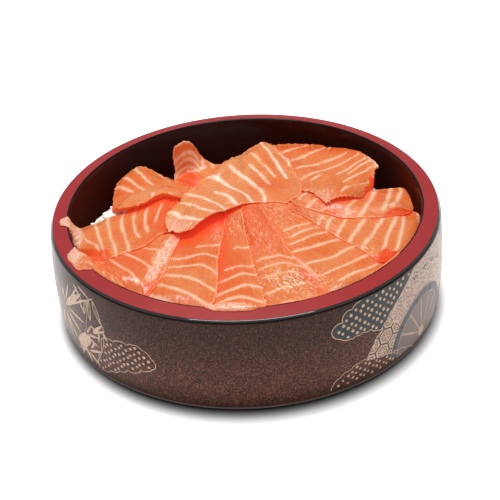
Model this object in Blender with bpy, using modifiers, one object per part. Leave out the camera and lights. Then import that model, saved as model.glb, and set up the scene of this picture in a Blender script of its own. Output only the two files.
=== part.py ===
"""Salmon scattered-rice bowl: a round lacquered tub, a bed of rice and thirteen
slices of raw salmon laid over one another in a rosette.

Metres, +Z up.  The origin is the middle of the tub's foot, on the surface that
it stands on.  The side that is seen most faces -Y.
"""
import math

import bmesh
import bpy
import numpy as np
from mathutils import Vector
from mathutils.bvhtree import BVHTree

MM = 0.001

# ---------------------------------------------------------------- dimensions
# tub (millimetres); heights are counted from a datum STAND above the table
STAND = 4.0
RIM_OUT_R = 120.0        # outer edge of the red rim face
RIM_OUT_Z = 61.5
RIM_IN_R = 110.0         # inner edge of the red rim face, a little higher
RIM_IN_Z = 63.6
LIP_R = 121.2            # black lip just outside the rim face
BELLY_R = 122.4          # widest part of the wall, half way up
BASE_R = 120.3           # lower edge of the wall, which overhangs the foot
BASE_Z = -1.0
FLOOR_Z = 20.0           # raised floor that the rice lies on
FOOT_OUT_R = 115.4       # flat ring that it stands on
FOOT_IN_R = 110.5
RECESS_Z = 14.5          # hollow under the floor
TURNS = 64               # segments round

# rice
RICE_R = 100.0           # turned outline, before it is made uneven
RICE_EDGE_Z = 43.0       # top of the heap at its outline
RICE_TOP_Z = 53.0        # under the middle of the rosette

# salmon
GAP = 0.35               # between one slice and what it lies on
DRAPE = 3.6              # how stiffly a slice bridges steps (mm)
NU, NV = 12, 8           # faces along and across a slice
FU, FV = 48, 32          # finer grid that the draping is worked out on


# ------------------------------------------------------------------- helpers
def clear_scene():
    for ob in list(bpy.data.objects):
        bpy.data.objects.remove(ob, do_unlink=True)
    for me in list(bpy.data.meshes):
        bpy.data.meshes.remove(me)
    for co in list(bpy.data.collections):
        bpy.data.collections.remove(co)


def principled(name, colour, roughness, metallic=0.0, subsurface=0.0, coat=0.0):
    mat = bpy.data.materials.new(name)
    mat.use_nodes = True
    b = mat.node_tree.nodes["Principled BSDF"]
    b.inputs["Base Color"].default_value = (*colour, 1.0)
    b.inputs["Roughness"].default_value = roughness
    b.inputs["Metallic"].default_value = metallic
    b.inputs["Subsurface Weight"].default_value = subsurface
    b.inputs["Coat Weight"].default_value = coat
    mat.diffuse_color = (*colour, 1.0)
    return mat


def smooth(ob, degrees=35.0):
    ob.data.shade_smooth()
    ob.data.set_sharp_from_angle(angle=math.radians(degrees))


def turned(name, profile, steps, coll):
    """A profile of (radius, height) in mm, turned round Z."""
    me = bpy.data.meshes.new(name)
    bm = bmesh.new()
    vs = [bm.verts.new((r * MM, 0.0, z * MM)) for r, z in profile]
    for a, b in zip(vs, vs[1:]):
        bm.edges.new((a, b))
    bm.to_mesh(me)
    bm.free()
    ob = bpy.data.objects.new(name, me)
    coll.objects.link(ob)
    sc = ob.modifiers.new("turn", "SCREW")
    sc.axis = "Z"
    sc.angle = math.tau
    sc.steps = steps
    sc.render_steps = steps
    sc.use_merge_vertices = True
    sc.merge_threshold = 0.00002
    sc.use_smooth_shade = True
    return ob


def baked(ob):
    """Replace an object's mesh by its evaluated one."""
    dg = bpy.context.evaluated_depsgraph_get()
    me = bpy.data.meshes.new_from_object(ob.evaluated_get(dg))
    ob.modifiers.clear()
    old = ob.data
    ob.data = me
    bpy.data.meshes.remove(old)
    return ob


def smoothstep(x):
    x = np.clip(x, 0.0, 1.0)
    return x * x * (3 - 2 * x)


# ----------------------------------------------------------------------- tub
def tub_profile():
    """From the middle of the floor, up the inside, over the rim, down the
    outside and back under the floor to the middle."""
    p = [(0.0, FLOOR_Z), (60.0, FLOOR_Z), (102.5, FLOOR_Z)]
    for k in range(1, 4):                       # inner corner
        a = math.radians(90 * k / 3)
        p.append((102.5 + 5.8 * math.sin(a), FLOOR_Z + 5.8 * (1 - math.cos(a))))
    p += [(109.3, 61.5), (RIM_IN_R - 0.35, RIM_IN_Z - 0.35), (RIM_IN_R, RIM_IN_Z)]
    p += [(RIM_OUT_R, RIM_OUT_Z), (LIP_R - 0.25, RIM_OUT_Z - 0.9), (LIP_R, 58.8)]
    for k in range(1, 5):                       # barrel wall
        t = k / 5.0
        z = 58.8 + (BASE_Z - 58.8) * t
        r = (1 - t) * LIP_R + t * BASE_R + 4 * t * (1 - t) * (BELLY_R - (LIP_R + BASE_R) / 2)
        p.append((r, z))
    p += [(BASE_R, BASE_Z), (BASE_R - 1.0, BASE_Z - 0.95), (FOOT_OUT_R + 0.5, BASE_Z - 1.4), (FOOT_OUT_R, -STAND), (FOOT_IN_R, -STAND)]
    p += [(FOOT_IN_R - 1.2, 1.5 - STAND), (107.5, RECESS_Z - 3.0), (103.5, RECESS_Z), (0.0, RECESS_Z)]
    return p


# ---------------------------------------------------------------------- rice
def rice_outline(a):
    """Uneven outline of the bed: it fills the front and stops short of the
    wall behind the rosette.  One radius for every 30 degrees from +X."""
    every = (99.0, 94.0, 89.0, 86.0, 79.0, 88.0, 103.0, 106.0, 106.0, 106.0, 106.0, 104.0)
    n = len(every)
    s = np.mod(a / math.tau * n, n)
    i = np.floor(s).astype(int)
    f = s - i
    v = np.array(every)
    p0, p1, p2, p3 = (v[(i + k) % n] for k in (-1, 0, 1, 2))
    r = p1 + 0.5 * f * (p2 - p0 + f * (2 * p0 - 5 * p1 + 4 * p2 - p3 + f * (3 * (p1 - p2) + p3 - p0)))
    r = r + 0.8 * np.sin(7 * a + 2.0) + 0.6 * np.sin(11 * a - 1.1)
    return np.minimum(r, 106.5)


def rice_height(x, y):
    """Top of the bed in mm."""
    r = np.hypot(x, y)
    a = np.arctan2(y, x)
    edge = rice_outline(a)
    q = np.clip(r / edge, 0.0, 1.0)
    top = RICE_TOP_Z + 1.2 * np.cos(math.pi * q) + 3.2 * smoothstep((-y - 20.0) / 80.0)
    top = top + 3.0 * np.exp(-(((x + 90.0) / 13.0) ** 2 + ((y - 17.0) / 11.0) ** 2))
    top = top + 2.0 * np.exp(-(((x - 84.0) / 12.0) ** 2 + ((y - 24.0) / 12.0) ** 2))
    top = top + 0.5 * np.sin(x / 7.3 + 1.0) * np.cos(y / 6.1) + 0.35 * np.sin((x + y) / 4.3)
    front = smoothstep((20.0 - y) / 70.0)        # pressed up against the wall there
    shoulder = smoothstep((1.0 - q) / (0.17 - 0.12 * front))
    drop = RICE_EDGE_Z + 8.0 * front
    return drop + (top - drop) * shoulder


def bed_level(x, y):
    """What a slice would hang at where the heap has already ended: the bed's
    own level carried on to the wall, as a slice is too stiff to drop there."""
    return RICE_TOP_Z - 1.6 + 3.2 * smoothstep((-y - 20.0) / 80.0)


def rice_bed(coll, mat):
    """A turned heap whose outline and top are then made uneven."""
    rings = (0.0, 0.2, 0.38, 0.54, 0.68, 0.79, 0.87, 0.93, 0.97, 1.0)
    prof = [(RICE_R * q, RICE_TOP_Z - 10 * q) for q in rings]
    prof += [(RICE_R * 1.004, 32.0), (RICE_R * 0.985, FLOOR_Z + 3.5), (RICE_R * 0.95, FLOOR_Z + GAP), (0.0, FLOOR_Z + GAP)]
    ob = baked(turned("rice", prof, 42, coll))
    for v in ob.data.vertices:
        x, y, z = v.co.x / MM, v.co.y / MM, v.co.z / MM
        r = math.hypot(x, y)
        if r > 1e-6:
            a = math.atan2(y, x)
            edge = float(rice_outline(np.array(a)))
            k = edge / RICE_R
            if z < 30:
                k = min(k, 105.0 / RICE_R)
            if z < FLOOR_Z + 1:
                k = 1.0
            v.co.x, v.co.y = x * k * MM, y * k * MM
        if z > RICE_TOP_Z - 10.5:
            v.co.z = float(rice_height(np.array(v.co.x / MM), np.array(v.co.y / MM))) * MM
    ob.data.update()
    ob.data.materials.clear()
    ob.data.materials.append(mat)
    smooth(ob, 50)
    return ob


# -------------------------------------------------------------------- salmon
# A slice is a loft through cross-sections laid end to end: the middle of each
# (x, y), its width and the heading of its width, left to right, in degrees.
# wall: how far out it may reach.  drape: what it is bent over.
SLICES = [
    dict(name="slice_front_6", t=3.6, wall=107.4, corner=(7, 3),
         sec=[(-2, 27, 44, 22), (39, -35, 50, 33), (69, -85, 65, 30)]),
    dict(name="slice_front_7", t=3.6, wall=107.4, corner=(6, 4),
         sec=[(27, 11, 20, 72), (68, -17, 48, 71), (102, -45, 90, 67)]),
    dict(name="slice_front_8", t=3.8, wall=106.5, corner=(5, 6),
         sec=[(29, 15, 29, 85), (64, 6, 38, 72), (107, 9, 50, 81)]),
    dict(name="slice_back_1", t=3.4, wall=103.0, corner=(6, 8),
         sec=[(56, -2, 50, 27), (55, 42, 58, -8), (52, 85, 88, -8)],
         lift=[(2.6, 0.0, 0.22, 0.6, 0.3), (4.0, 0.85, 0.2, 1.0, 0.3)]),
    dict(name="slice_front_5", t=3.6, wall=107.4, corner=(8, 2),
         sec=[(1, 4, 18, 21), (14, -52, 28, -4), (30, -109, 52, 11)]),
    dict(name="slice_front_4", t=3.4, wall=118.5, corner=(7, 5),
         sec=[(-7, 2, 15, -34), (-9, -50, 25, -13), (-9, -118, 47, -6)]),
    dict(name="slice_front_3", t=3.6, wall=107.4, corner=(4, 4),
         sec=[(-23, 1, 28, -7), (-36, -45, 38, -16), (-44, -96, 56, -22)]),
    dict(name="slice_front_1", t=3.4, wall=118.0, corner=(4, 3),
         sec=[(-73, -29, 40, -25), (-84, -52, 50, -38), (-95, -72, 57, -50)]),
    dict(name="slice_front_2", t=3.6, wall=107.4, corner=(4, 4),
         sec=[(-51, -11, 28, -8), (-65, -42, 39, -5), (-74, -77, 44, -42)]),
    dict(name="slice_back_5", t=3.6, wall=119.0, corner=(3, 10),
         sec=[(-42, 22, 46, 98), (-76, -12, 58, 90), (-113, -13, 29, 105)]),
    dict(name="slice_back_4", t=3.4, wall=101.0, corner=(3, 8),
         sec=[(-33, 33, 22, 80), (-50, 40, 38, 90), (-66, 42, 58, 93), (-84, 34, 50, 90)],
         curl=dict(side=0, share=(0.2, 0.22, 0.24, 0.24), radius=4.2, angle=(40, 90, 120, 100))),
    dict(name="slice_back_3", t=3.0, wall=101.0, corner=(6, 7),
         sec=[(-3, 52, 18, 93), (-16, 50, 18, 91), (-27, 56, 29, 89), (-35, 62, 43, 86), (-45, 61, 38, 90)],
         curl=dict(side=1, share=(0.1, 0.2, 0.52, 0.66, 0.66), radius=7.5, angle=(0, 8, 55, 88, 84))),
    dict(name="slice_back_2", t=3.6, wall=101.0, corner=(9, 6),
         sec=[(-45, -15, 44, 115), (-11, 30, 54, 112), (32, 57, 110, 102)],
         lift=[(6.0, 0.15, 0.30, 0.05, 0.5), (3.0, 0.93, 0.12, 1.0, 0.25)]),
]


def through(vals, u):
    """A smooth curve through equally spaced values (u from 0 to 1)."""
    v = np.asarray(vals, float)
    n = len(v) - 1
    if n == 2:
        return v[0] * (2 * u - 1) * (u - 1) + v[1] * 4 * u * (1 - u) + v[2] * u * (2 * u - 1)
    m = np.gradient(v)
    s = np.clip(u * n, 0, n - 1e-9)
    i = s.astype(int)
    f = s - i
    h00, h10 = 2 * f**3 - 3 * f**2 + 1, f**3 - 2 * f**2 + f
    h01, h11 = -2 * f**3 + 3 * f**2, f**3 - f**2
    return h00 * v[i] + h10 * m[i] + h01 * v[i + 1] + h11 * m[i + 1]


def plan(s, u, v):
    """Plan position of a point of the slice (mm), before any curl."""
    sec = np.array(s["sec"], float)
    length = np.hypot(*(sec[1:, :2] - sec[:-1, :2]).T).sum()
    mean_w = sec[:, 2].mean()
    kl, kw = s["corner"][0] / (length / 2), s["corner"][1] / (mean_w / 2)
    tight = math.sqrt(0.6 * (1 - kl) * (1 - kw) / (16 * kl * kw))
    kl, kw = kl * min(1.0, tight), kw * min(1.0, tight)      # never folds over
    p, q = 2 * u - 1, 2 * v - 1
    p2 = p * (1 - kl * q**4)
    q2 = q * (1 - kw * p**4)
    k = s["seed"]
    q2 = q2 + (0.9 / mean_w) * np.sign(q) * np.abs(q) ** 3 * (
        np.sin(5.1 * u + k + 1.3 * np.sign(q)) + 0.6 * np.sin(11.7 * u + 2.1 * k))
    p2 = p2 + (1.2 / length) * np.sign(p) * np.abs(p) ** 5 * (
        np.sin(6.3 * v + 1.7 * k) + 0.7 * np.sin(14.1 * v + k))
    u2, v2 = (p2 + 1) / 2, (q2 + 1) / 2
    cx, cy = through(sec[:, 0], u2), through(sec[:, 1], u2)
    w, a = through(sec[:, 2], u2), np.radians(through(sec[:, 3], u2))
    x = cx + (v2 - 0.5) * w * np.cos(a)
    y = cy + (v2 - 0.5) * w * np.sin(a)
    r = np.maximum(np.hypot(x, y), 1e-6)
    d = s.get("ease", 4.0)                       # squeezed against the wall
    over = np.maximum(r - (s["wall"] - d), 0.0)
    held = np.where(over > 0, s["wall"] - d + d * (1 - np.exp(-over / d)), r)
    return x * held / r, y * held / r, np.cos(a), np.sin(a), w


def curl(s, u, v, x, y, ca, sa, w):
    """Rolls one long edge upwards: shift in plan and rise of each point, mm."""
    c = s.get("curl")
    if not c:
        return x, y, np.zeros_like(x)
    e = v if c["side"] else 1 - v                 # 1 at the curled edge
    d = np.maximum(0.0, e - 1 + through(c["share"], u)) * w
    ang = np.radians(np.maximum(through(c["angle"], u), 0.01))
    r = c["radius"]
    arc = np.minimum(d / r, ang)
    rest = d - arc * r
    run = r * np.sin(arc) + rest * np.cos(arc)
    rise = r * (1 - np.cos(arc)) + rest * np.sin(arc)
    sgn = 1 if c["side"] else -1
    return x + sgn * (run - d) * ca, y + sgn * (run - d) * sa, rise


def filt(a, hu, hv, what):
    """Greatest or mean value over a window of the grid."""
    p = np.pad(a, ((hu, hu), (hv, hv)), mode="edge")
    stack = [p[i:i + a.shape[0], j:j + a.shape[1]]
             for i in range(2 * hu + 1) for j in range(2 * hv + 1)]
    return what(np.array(stack), axis=0)


def thickness(s, u, v):
    p, q = 2 * u - 1, 2 * v - 1
    k = s["seed"]
    t = s["t"] * (1 + 0.06 * np.sin(9 * u + k) + 0.05 * np.sin(7 * v + 2 * k))
    return t * (0.60 + 0.40 * (1 - np.abs(q) ** 5)) * (0.60 + 0.40 * (1 - np.abs(p) ** 9))


def nodes(n, pull):
    """n + 1 values from 0 to 1, closer together at the ends."""
    i = np.arange(n + 1) / n
    return (1 - pull) * i + pull * 0.5 * (1 - np.cos(np.pi * i))


def bilinear(grid, u, v):
    """Value of the fine grid at (u, v)."""
    fu, fv = grid.shape[0] - 1, grid.shape[1] - 1
    a, b = np.clip(u * fu, 0, fu - 1e-9), np.clip(v * fv, 0, fv - 1e-9)
    i, j = a.astype(int), b.astype(int)
    p, q = a - i, b - j
    return ((1 - p) * (1 - q) * grid[i, j] + p * (1 - q) * grid[i + 1, j]
            + (1 - p) * q * grid[i, j + 1] + p * q * grid[i + 1, j + 1])


def drape(s, support):
    """Underside of the slice on the fine grid: x, y, z in mm."""
    u, v = np.meshgrid(np.linspace(0, 1, FU + 1), np.linspace(0, 1, FV + 1), indexing="ij")
    x0, y0, ca, sa, w = plan(s, u, v)
    x, y, rise = curl(s, u, v, x0, y0, ca, sa, w)
    h = np.full(x.shape, -1e9)
    for dx, dy in ((0, 0), (0.7, 0), (-0.7, 0), (0, 0.7), (0, -0.7)):
        h = np.maximum(h, support(x + dx, y + dy))
    sec = np.array(s["sec"], float)
    length = np.hypot(*(sec[1:, :2] - sec[:-1, :2]).T).sum()
    hu = max(1, int(round(DRAPE / (length / FU))))
    hv = max(1, int(round(DRAPE / (sec[:, 2].mean() / FV))))
    z = filt(filt(h, hu, hv, np.max), hu, hv, np.mean)
    z = filt(z, 1, 1, np.mean) + GAP + 0.15
    for rise_mm, u0, su, v0, sv in s.get("lift", ()):
        z = z + rise_mm * np.exp(-((u - u0) / su) ** 2 - ((v - v0) / sv) ** 2)
    return x, y, z + rise


def rim_of(grid):
    """True round the border of a grid."""
    out = np.ones(grid.shape, bool)
    out[1:-1, 1:-1] = False
    return out


def facet_points(p00, p10, p01, p11, a, b):
    """A point of a quad that is split from its first to its last corner."""
    lower = p00 + a * (p10 - p00) + b * (p11 - p10)
    upper = p00 + b * (p01 - p00) + a * (p11 - p01)
    return np.where(a >= b, lower, upper)


def clear_of(bx, by, bz, support):
    """Raises grid points until every face is clear of what lies below it."""
    k = np.linspace(0, 1, 15)
    cell = np.indices((bx.shape[0] - 1, bx.shape[1] - 1))
    cells = []
    for a in k:
        for b in k:
            quad = [[g[cell[0] + i, cell[1] + j] for i, j in ((0, 0), (1, 0), (0, 1), (1, 1))]
                    for g in (bx, by)]
            x, y = (facet_points(*q, a, b) for q in quad)
            cells.append((a, b, support(x, y)))
    for _ in range(10):
        up = np.zeros_like(bz)
        for a, b, h in cells:
            corners = [bz[cell[0] + i, cell[1] + j] for i, j in ((0, 0), (1, 0), (0, 1), (1, 1))]
            lack = h + GAP - facet_points(*corners, a, b)
            lack = np.maximum(lack, 0.0)
            for i, near in ((0, a <= 0.8), (1, a >= 0.2)):
                for j, also in ((0, b <= 0.8), (1, b >= 0.2)):
                    if near and also:
                        np.maximum.at(up, (cell[0] + i, cell[1] + j), lack)
        if up.max() < 0.005:
            break
        bz = bz + up
    return bz


def slice_solid(s, support, coll, mat):
    """One slice as a closed loft, draped over what is already there."""
    x, y, z = drape(s, support)
    gu, gv = np.meshgrid(nodes(NU, 0.55), nodes(NV, 0.55), indexing="ij")
    bx, by, bz = (bilinear(g, gu, gv) for g in (x, y, z))
    bz = clear_of(bx, by, bz, support)
    # normals of the underside, then the upper side
    low = np.stack([bx, by, bz], -1)
    n = np.cross(np.gradient(low, axis=0), np.gradient(low, axis=1))
    n /= np.linalg.norm(n, axis=-1, keepdims=True)
    if n[..., 2].mean() < 0:
        n = -n
    if "curl" not in s:                          # cut ends stand upright
        n[..., :2] *= np.where(rim_of(n[..., 2]), 0.35, 1.0)[..., None]
        n[..., 2] = np.maximum(n[..., 2], 0.5)
        n /= np.linalg.norm(n, axis=-1, keepdims=True)
    top = low + thickness(s, gu, gv)[..., None] * n
    # a loft between the two sheets, closed round their edges
    bm = bmesh.new()
    a, b = ([bm.verts.new(Vector(c * MM)) for c in pts.reshape(-1, 3)] for pts in (low, top))
    ids = np.arange((NU + 1) * (NV + 1)).reshape(NU + 1, NV + 1)
    for i in range(NU):
        for j in range(NV):
            q = ids[i, j], ids[i + 1, j], ids[i + 1, j + 1], ids[i, j + 1]
            for sheet, order in ((a, (0, 2, 1)), (a, (0, 3, 2)), (b, (0, 1, 2)), (b, (0, 2, 3))):
                bm.faces.new([sheet[q[c]] for c in order])
    ring = list(ids[:, 0]) + list(ids[-1, 1:]) + list(ids[-2::-1, -1]) + list(ids[0, -2:0:-1])
    for i, j in zip(ring, ring[1:] + ring[:1]):
        bm.faces.new((a[i], a[j], b[j]))
        bm.faces.new((a[i], b[j], b[i]))
    if bm.calc_volume(signed=True) < 0:
        bmesh.ops.reverse_faces(bm, faces=bm.faces[:])
    me = bpy.data.meshes.new(s["name"])
    bm.to_mesh(me)
    bm.free()
    ob = bpy.data.objects.new(s["name"], me)
    coll.objects.link(ob)
    me.materials.append(mat)
    smooth(ob, 40)
    return ob


class Stack:
    """Everything laid down so far, to find what a point would rest on."""

    def __init__(self):
        self.verts, self.tris, self.tree = [], [], None

    def add(self, ob):
        me = ob.data
        me.calc_loop_triangles()
        base = len(self.verts)
        self.verts += [v.co.copy() for v in me.vertices]
        self.tris += [tuple(base + i for i in t.vertices) for t in me.loop_triangles]
        self.tree = BVHTree.FromPolygons(self.verts, self.tris)

    def height(self, x, y):
        out = bed_level(x, y)
        down = Vector((0, 0, -1))
        for i in np.ndindex(x.shape):
            hit = self.tree.ray_cast(Vector((x[i] * MM, y[i] * MM, 1.0)), down)
            if hit[0] is not None:
                out[i] = max(out[i], hit[0].z / MM)
        return out


def build():
    clear_scene()
    coll = bpy.data.collections.new("chirashi_bowl")
    bpy.context.scene.collection.children.link(coll)

    lacquer = principled("lacquer", (0.045, 0.018, 0.014), 0.28, coat=0.5)
    rice_mat = principled("cooked_rice", (0.80, 0.77, 0.70), 0.45, subsurface=0.2)

    tub = baked(turned("bowl", tub_profile(), TURNS, coll))
    tub.data.materials.clear()
    tub.data.materials.append(lacquer)
    smooth(tub, 30)
    rice = rice_bed(coll, rice_mat)

    stack = Stack()
    stack.add(tub)
    stack.add(rice)
    for k, s in enumerate(SLICES):
        s["seed"] = 1.37 * k + 0.4
        mat = principled("salmon_%d" % (k + 1), (0.83, 0.20 + 0.01 * (k % 3), 0.085), 0.30, subsurface=0.3)
        ob = slice_solid(s, stack.height, coll, mat)
        stack.add(ob)
    for ob in coll.objects:                       # from the datum to the table
        for v in ob.data.vertices:
            v.co.z += STAND * MM
        ob.data.update()


build()
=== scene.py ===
"""Lengths in the tables are millimetres in the row's frame: the origin is the
middle of the tub's foot, +Z is up and -Y is the front.
"""
import math

import bpy
import numpy as np
from mathutils import Matrix, Vector
from mathutils.bvhtree import BVHTree
from mathutils.geometry import delaunay_2d_cdt
from mathutils.kdtree import KDTree


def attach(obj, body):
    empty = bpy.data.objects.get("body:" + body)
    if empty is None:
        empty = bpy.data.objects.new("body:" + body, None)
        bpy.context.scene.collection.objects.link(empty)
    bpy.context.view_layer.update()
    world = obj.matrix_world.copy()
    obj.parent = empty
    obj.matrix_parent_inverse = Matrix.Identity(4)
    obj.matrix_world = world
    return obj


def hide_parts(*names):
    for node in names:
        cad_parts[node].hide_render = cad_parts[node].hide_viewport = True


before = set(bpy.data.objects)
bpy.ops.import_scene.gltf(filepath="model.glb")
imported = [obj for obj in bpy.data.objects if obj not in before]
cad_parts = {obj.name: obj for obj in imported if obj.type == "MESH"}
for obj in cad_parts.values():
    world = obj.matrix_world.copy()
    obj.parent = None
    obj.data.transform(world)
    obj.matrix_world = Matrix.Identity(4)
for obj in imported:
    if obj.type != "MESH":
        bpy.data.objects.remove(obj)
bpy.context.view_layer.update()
MM = 0.001
scene = bpy.context.scene


# ------------------------------------------------------------------ meshes
STAND = 4.0    # heights are counted from a datum this far above the table (mm)


def mesh_object(name, verts, faces, mats, attrs=None, index=None, sharp=None, datum=STAND):
    """verts in mm.  attrs: name -> one number per vertex.  index: material of
    each face.  sharp: angle in degrees over which an edge stays hard."""
    me = bpy.data.meshes.new(name)
    verts = np.asarray(verts, float) + (0.0, 0.0, datum)
    me.from_pydata((verts * MM).tolist(), [], [tuple(int(i) for i in f) for f in faces])
    for mat in mats:
        me.materials.append(mat)
    if index is not None:
        me.polygons.foreach_set("material_index", np.asarray(index, np.int32))
    for key, values in (attrs or {}).items():
        layer = me.attributes.new(key, "FLOAT", "POINT")
        layer.data.foreach_set("value", np.asarray(values, np.float32).ravel())
    me.shade_smooth()
    if sharp is not None:
        me.set_sharp_from_angle(angle=math.radians(sharp))
    me.update()
    ob = bpy.data.objects.new(name, me)
    scene.collection.objects.link(ob)
    return ob


def lathe(profile, steps, mat_of):
    """Vertices and quads of a profile [(r, z, material)] turned round Z; the
    first and last points lie on the axis."""
    prof = np.array([(p[0], p[1]) for p in profile], float)
    ang = np.arange(steps) / steps * math.tau + math.pi / 2
    ring = prof[1:-1]
    n = len(ring)
    v = np.stack([ring[:, None, 0] * np.cos(ang), ring[:, None, 0] * np.sin(ang),
                  np.repeat(ring[:, 1:2], steps, 1)], -1).reshape(-1, 3)
    v = np.vstack([v, [[0, 0, prof[0, 1]], [0, 0, prof[-1, 1]]]])
    faces, index = [], []
    for i in range(n - 1):
        for j in range(steps):
            k = (j + 1) % steps
            faces.append((i * steps + j, (i + 1) * steps + j, (i + 1) * steps + k, i * steps + k))
            index.append(mat_of[profile[i + 1][2]])
    for j in range(steps):
        k = (j + 1) % steps
        faces.append((n * steps, j, k))
        index.append(mat_of[profile[0][2]])
        faces.append((n * steps + 1, (n - 1) * steps + k, (n - 1) * steps + j))
        index.append(mat_of[profile[-2][2]])
    return v, faces, index


def smoothstep(x):
    x = np.clip(x, 0.0, 1.0)
    return x * x * (3 - 2 * x)


# --------------------------------------------------------------- materials
class Graph:
    """Short names for building a node material."""

    def __init__(self, name):
        self.mat = bpy.data.materials.new(name)
        self.mat.use_nodes = True
        self.tree = self.mat.node_tree
        self.b = self.tree.nodes["Principled BSDF"]

    def node(self, kind, **kw):
        n = self.tree.nodes.new(kind)
        for k, v in kw.items():
            setattr(n, k, v)
        return n

    def put(self, sock, value):
        if isinstance(value, bpy.types.NodeSocket):
            self.tree.links.new(value, sock)
        elif isinstance(value, (tuple, list)) and len(value) == 3 and sock.type == "RGBA":
            sock.default_value = (*value, 1.0)
        else:
            sock.default_value = value

    def set(self, **kw):
        for k, v in kw.items():
            self.put(self.b.inputs[k.replace("_", " ")], v)

    def m(self, op, a, b=0.0, c=0.0, clamp=False):
        n = self.node("ShaderNodeMath", operation=op, use_clamp=clamp)
        for s, v in zip(n.inputs, (a, b, c)):
            self.put(s, v)
        return n.outputs[0]

    def attr(self, name):
        return self.node("ShaderNodeAttribute", attribute_name=name).outputs["Fac"]

    def vec(self, x, y, z=0.0):
        n = self.node("ShaderNodeCombineXYZ")
        for s, v in zip(n.inputs, (x, y, z)):
            self.put(s, v)
        return n.outputs[0]

    def coords(self):
        return self.node("ShaderNodeTexCoord").outputs["Object"]

    def split(self, v):
        n = self.node("ShaderNodeSeparateXYZ")
        self.put(n.inputs[0], v)
        return n.outputs[0], n.outputs[1], n.outputs[2]

    def noise(self, v, scale, detail=2.0, rough=0.5, distort=0.0):
        n = self.node("ShaderNodeTexNoise")
        self.put(n.inputs["Vector"], v)
        n.inputs["Scale"].default_value = scale
        n.inputs["Detail"].default_value = detail
        n.inputs["Roughness"].default_value = rough
        n.inputs["Distortion"].default_value = distort
        return n.outputs[0]

    def voronoi(self, v, scale, feature="F1"):
        n = self.node("ShaderNodeTexVoronoi", feature=feature)
        self.put(n.inputs["Vector"], v)
        n.inputs["Scale"].default_value = scale
        return n

    def scale(self, v, k):
        n = self.node("ShaderNodeVectorMath", operation="MULTIPLY")
        self.put(n.inputs[0], v)
        n.inputs[1].default_value = k
        return n.outputs[0]

    def step(self, x, lo, hi, to_lo=0.0, to_hi=1.0):
        n = self.node("ShaderNodeMapRange", interpolation_type="SMOOTHSTEP")
        for s, v in zip(n.inputs, (x, lo, hi, to_lo, to_hi)):
            self.put(s, v)
        return n.outputs[0]

    def mix(self, f, a, b, blend="MIX"):
        n = self.node("ShaderNodeMix", data_type="RGBA", blend_type=blend)
        self.put(n.inputs[0], f)
        self.put(n.inputs[6], a)
        self.put(n.inputs[7], b)
        return n.outputs[2]

    def bump(self, height, strength, distance):
        n = self.node("ShaderNodeBump")
        n.inputs["Strength"].default_value = strength
        n.inputs["Distance"].default_value = distance
        self.put(n.inputs["Height"], height)
        self.put(self.b.inputs["Normal"], n.outputs[0])
        return n.outputs[0]


def lin(r, g, b):
    """sRGB 0-255 to linear."""
    out = []
    for c in (r, g, b):
        c /= 255.0
        out.append(c / 12.92 if c <= 0.04045 else ((c + 0.055) / 1.055) ** 2.4)
    return tuple(out)


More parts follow.
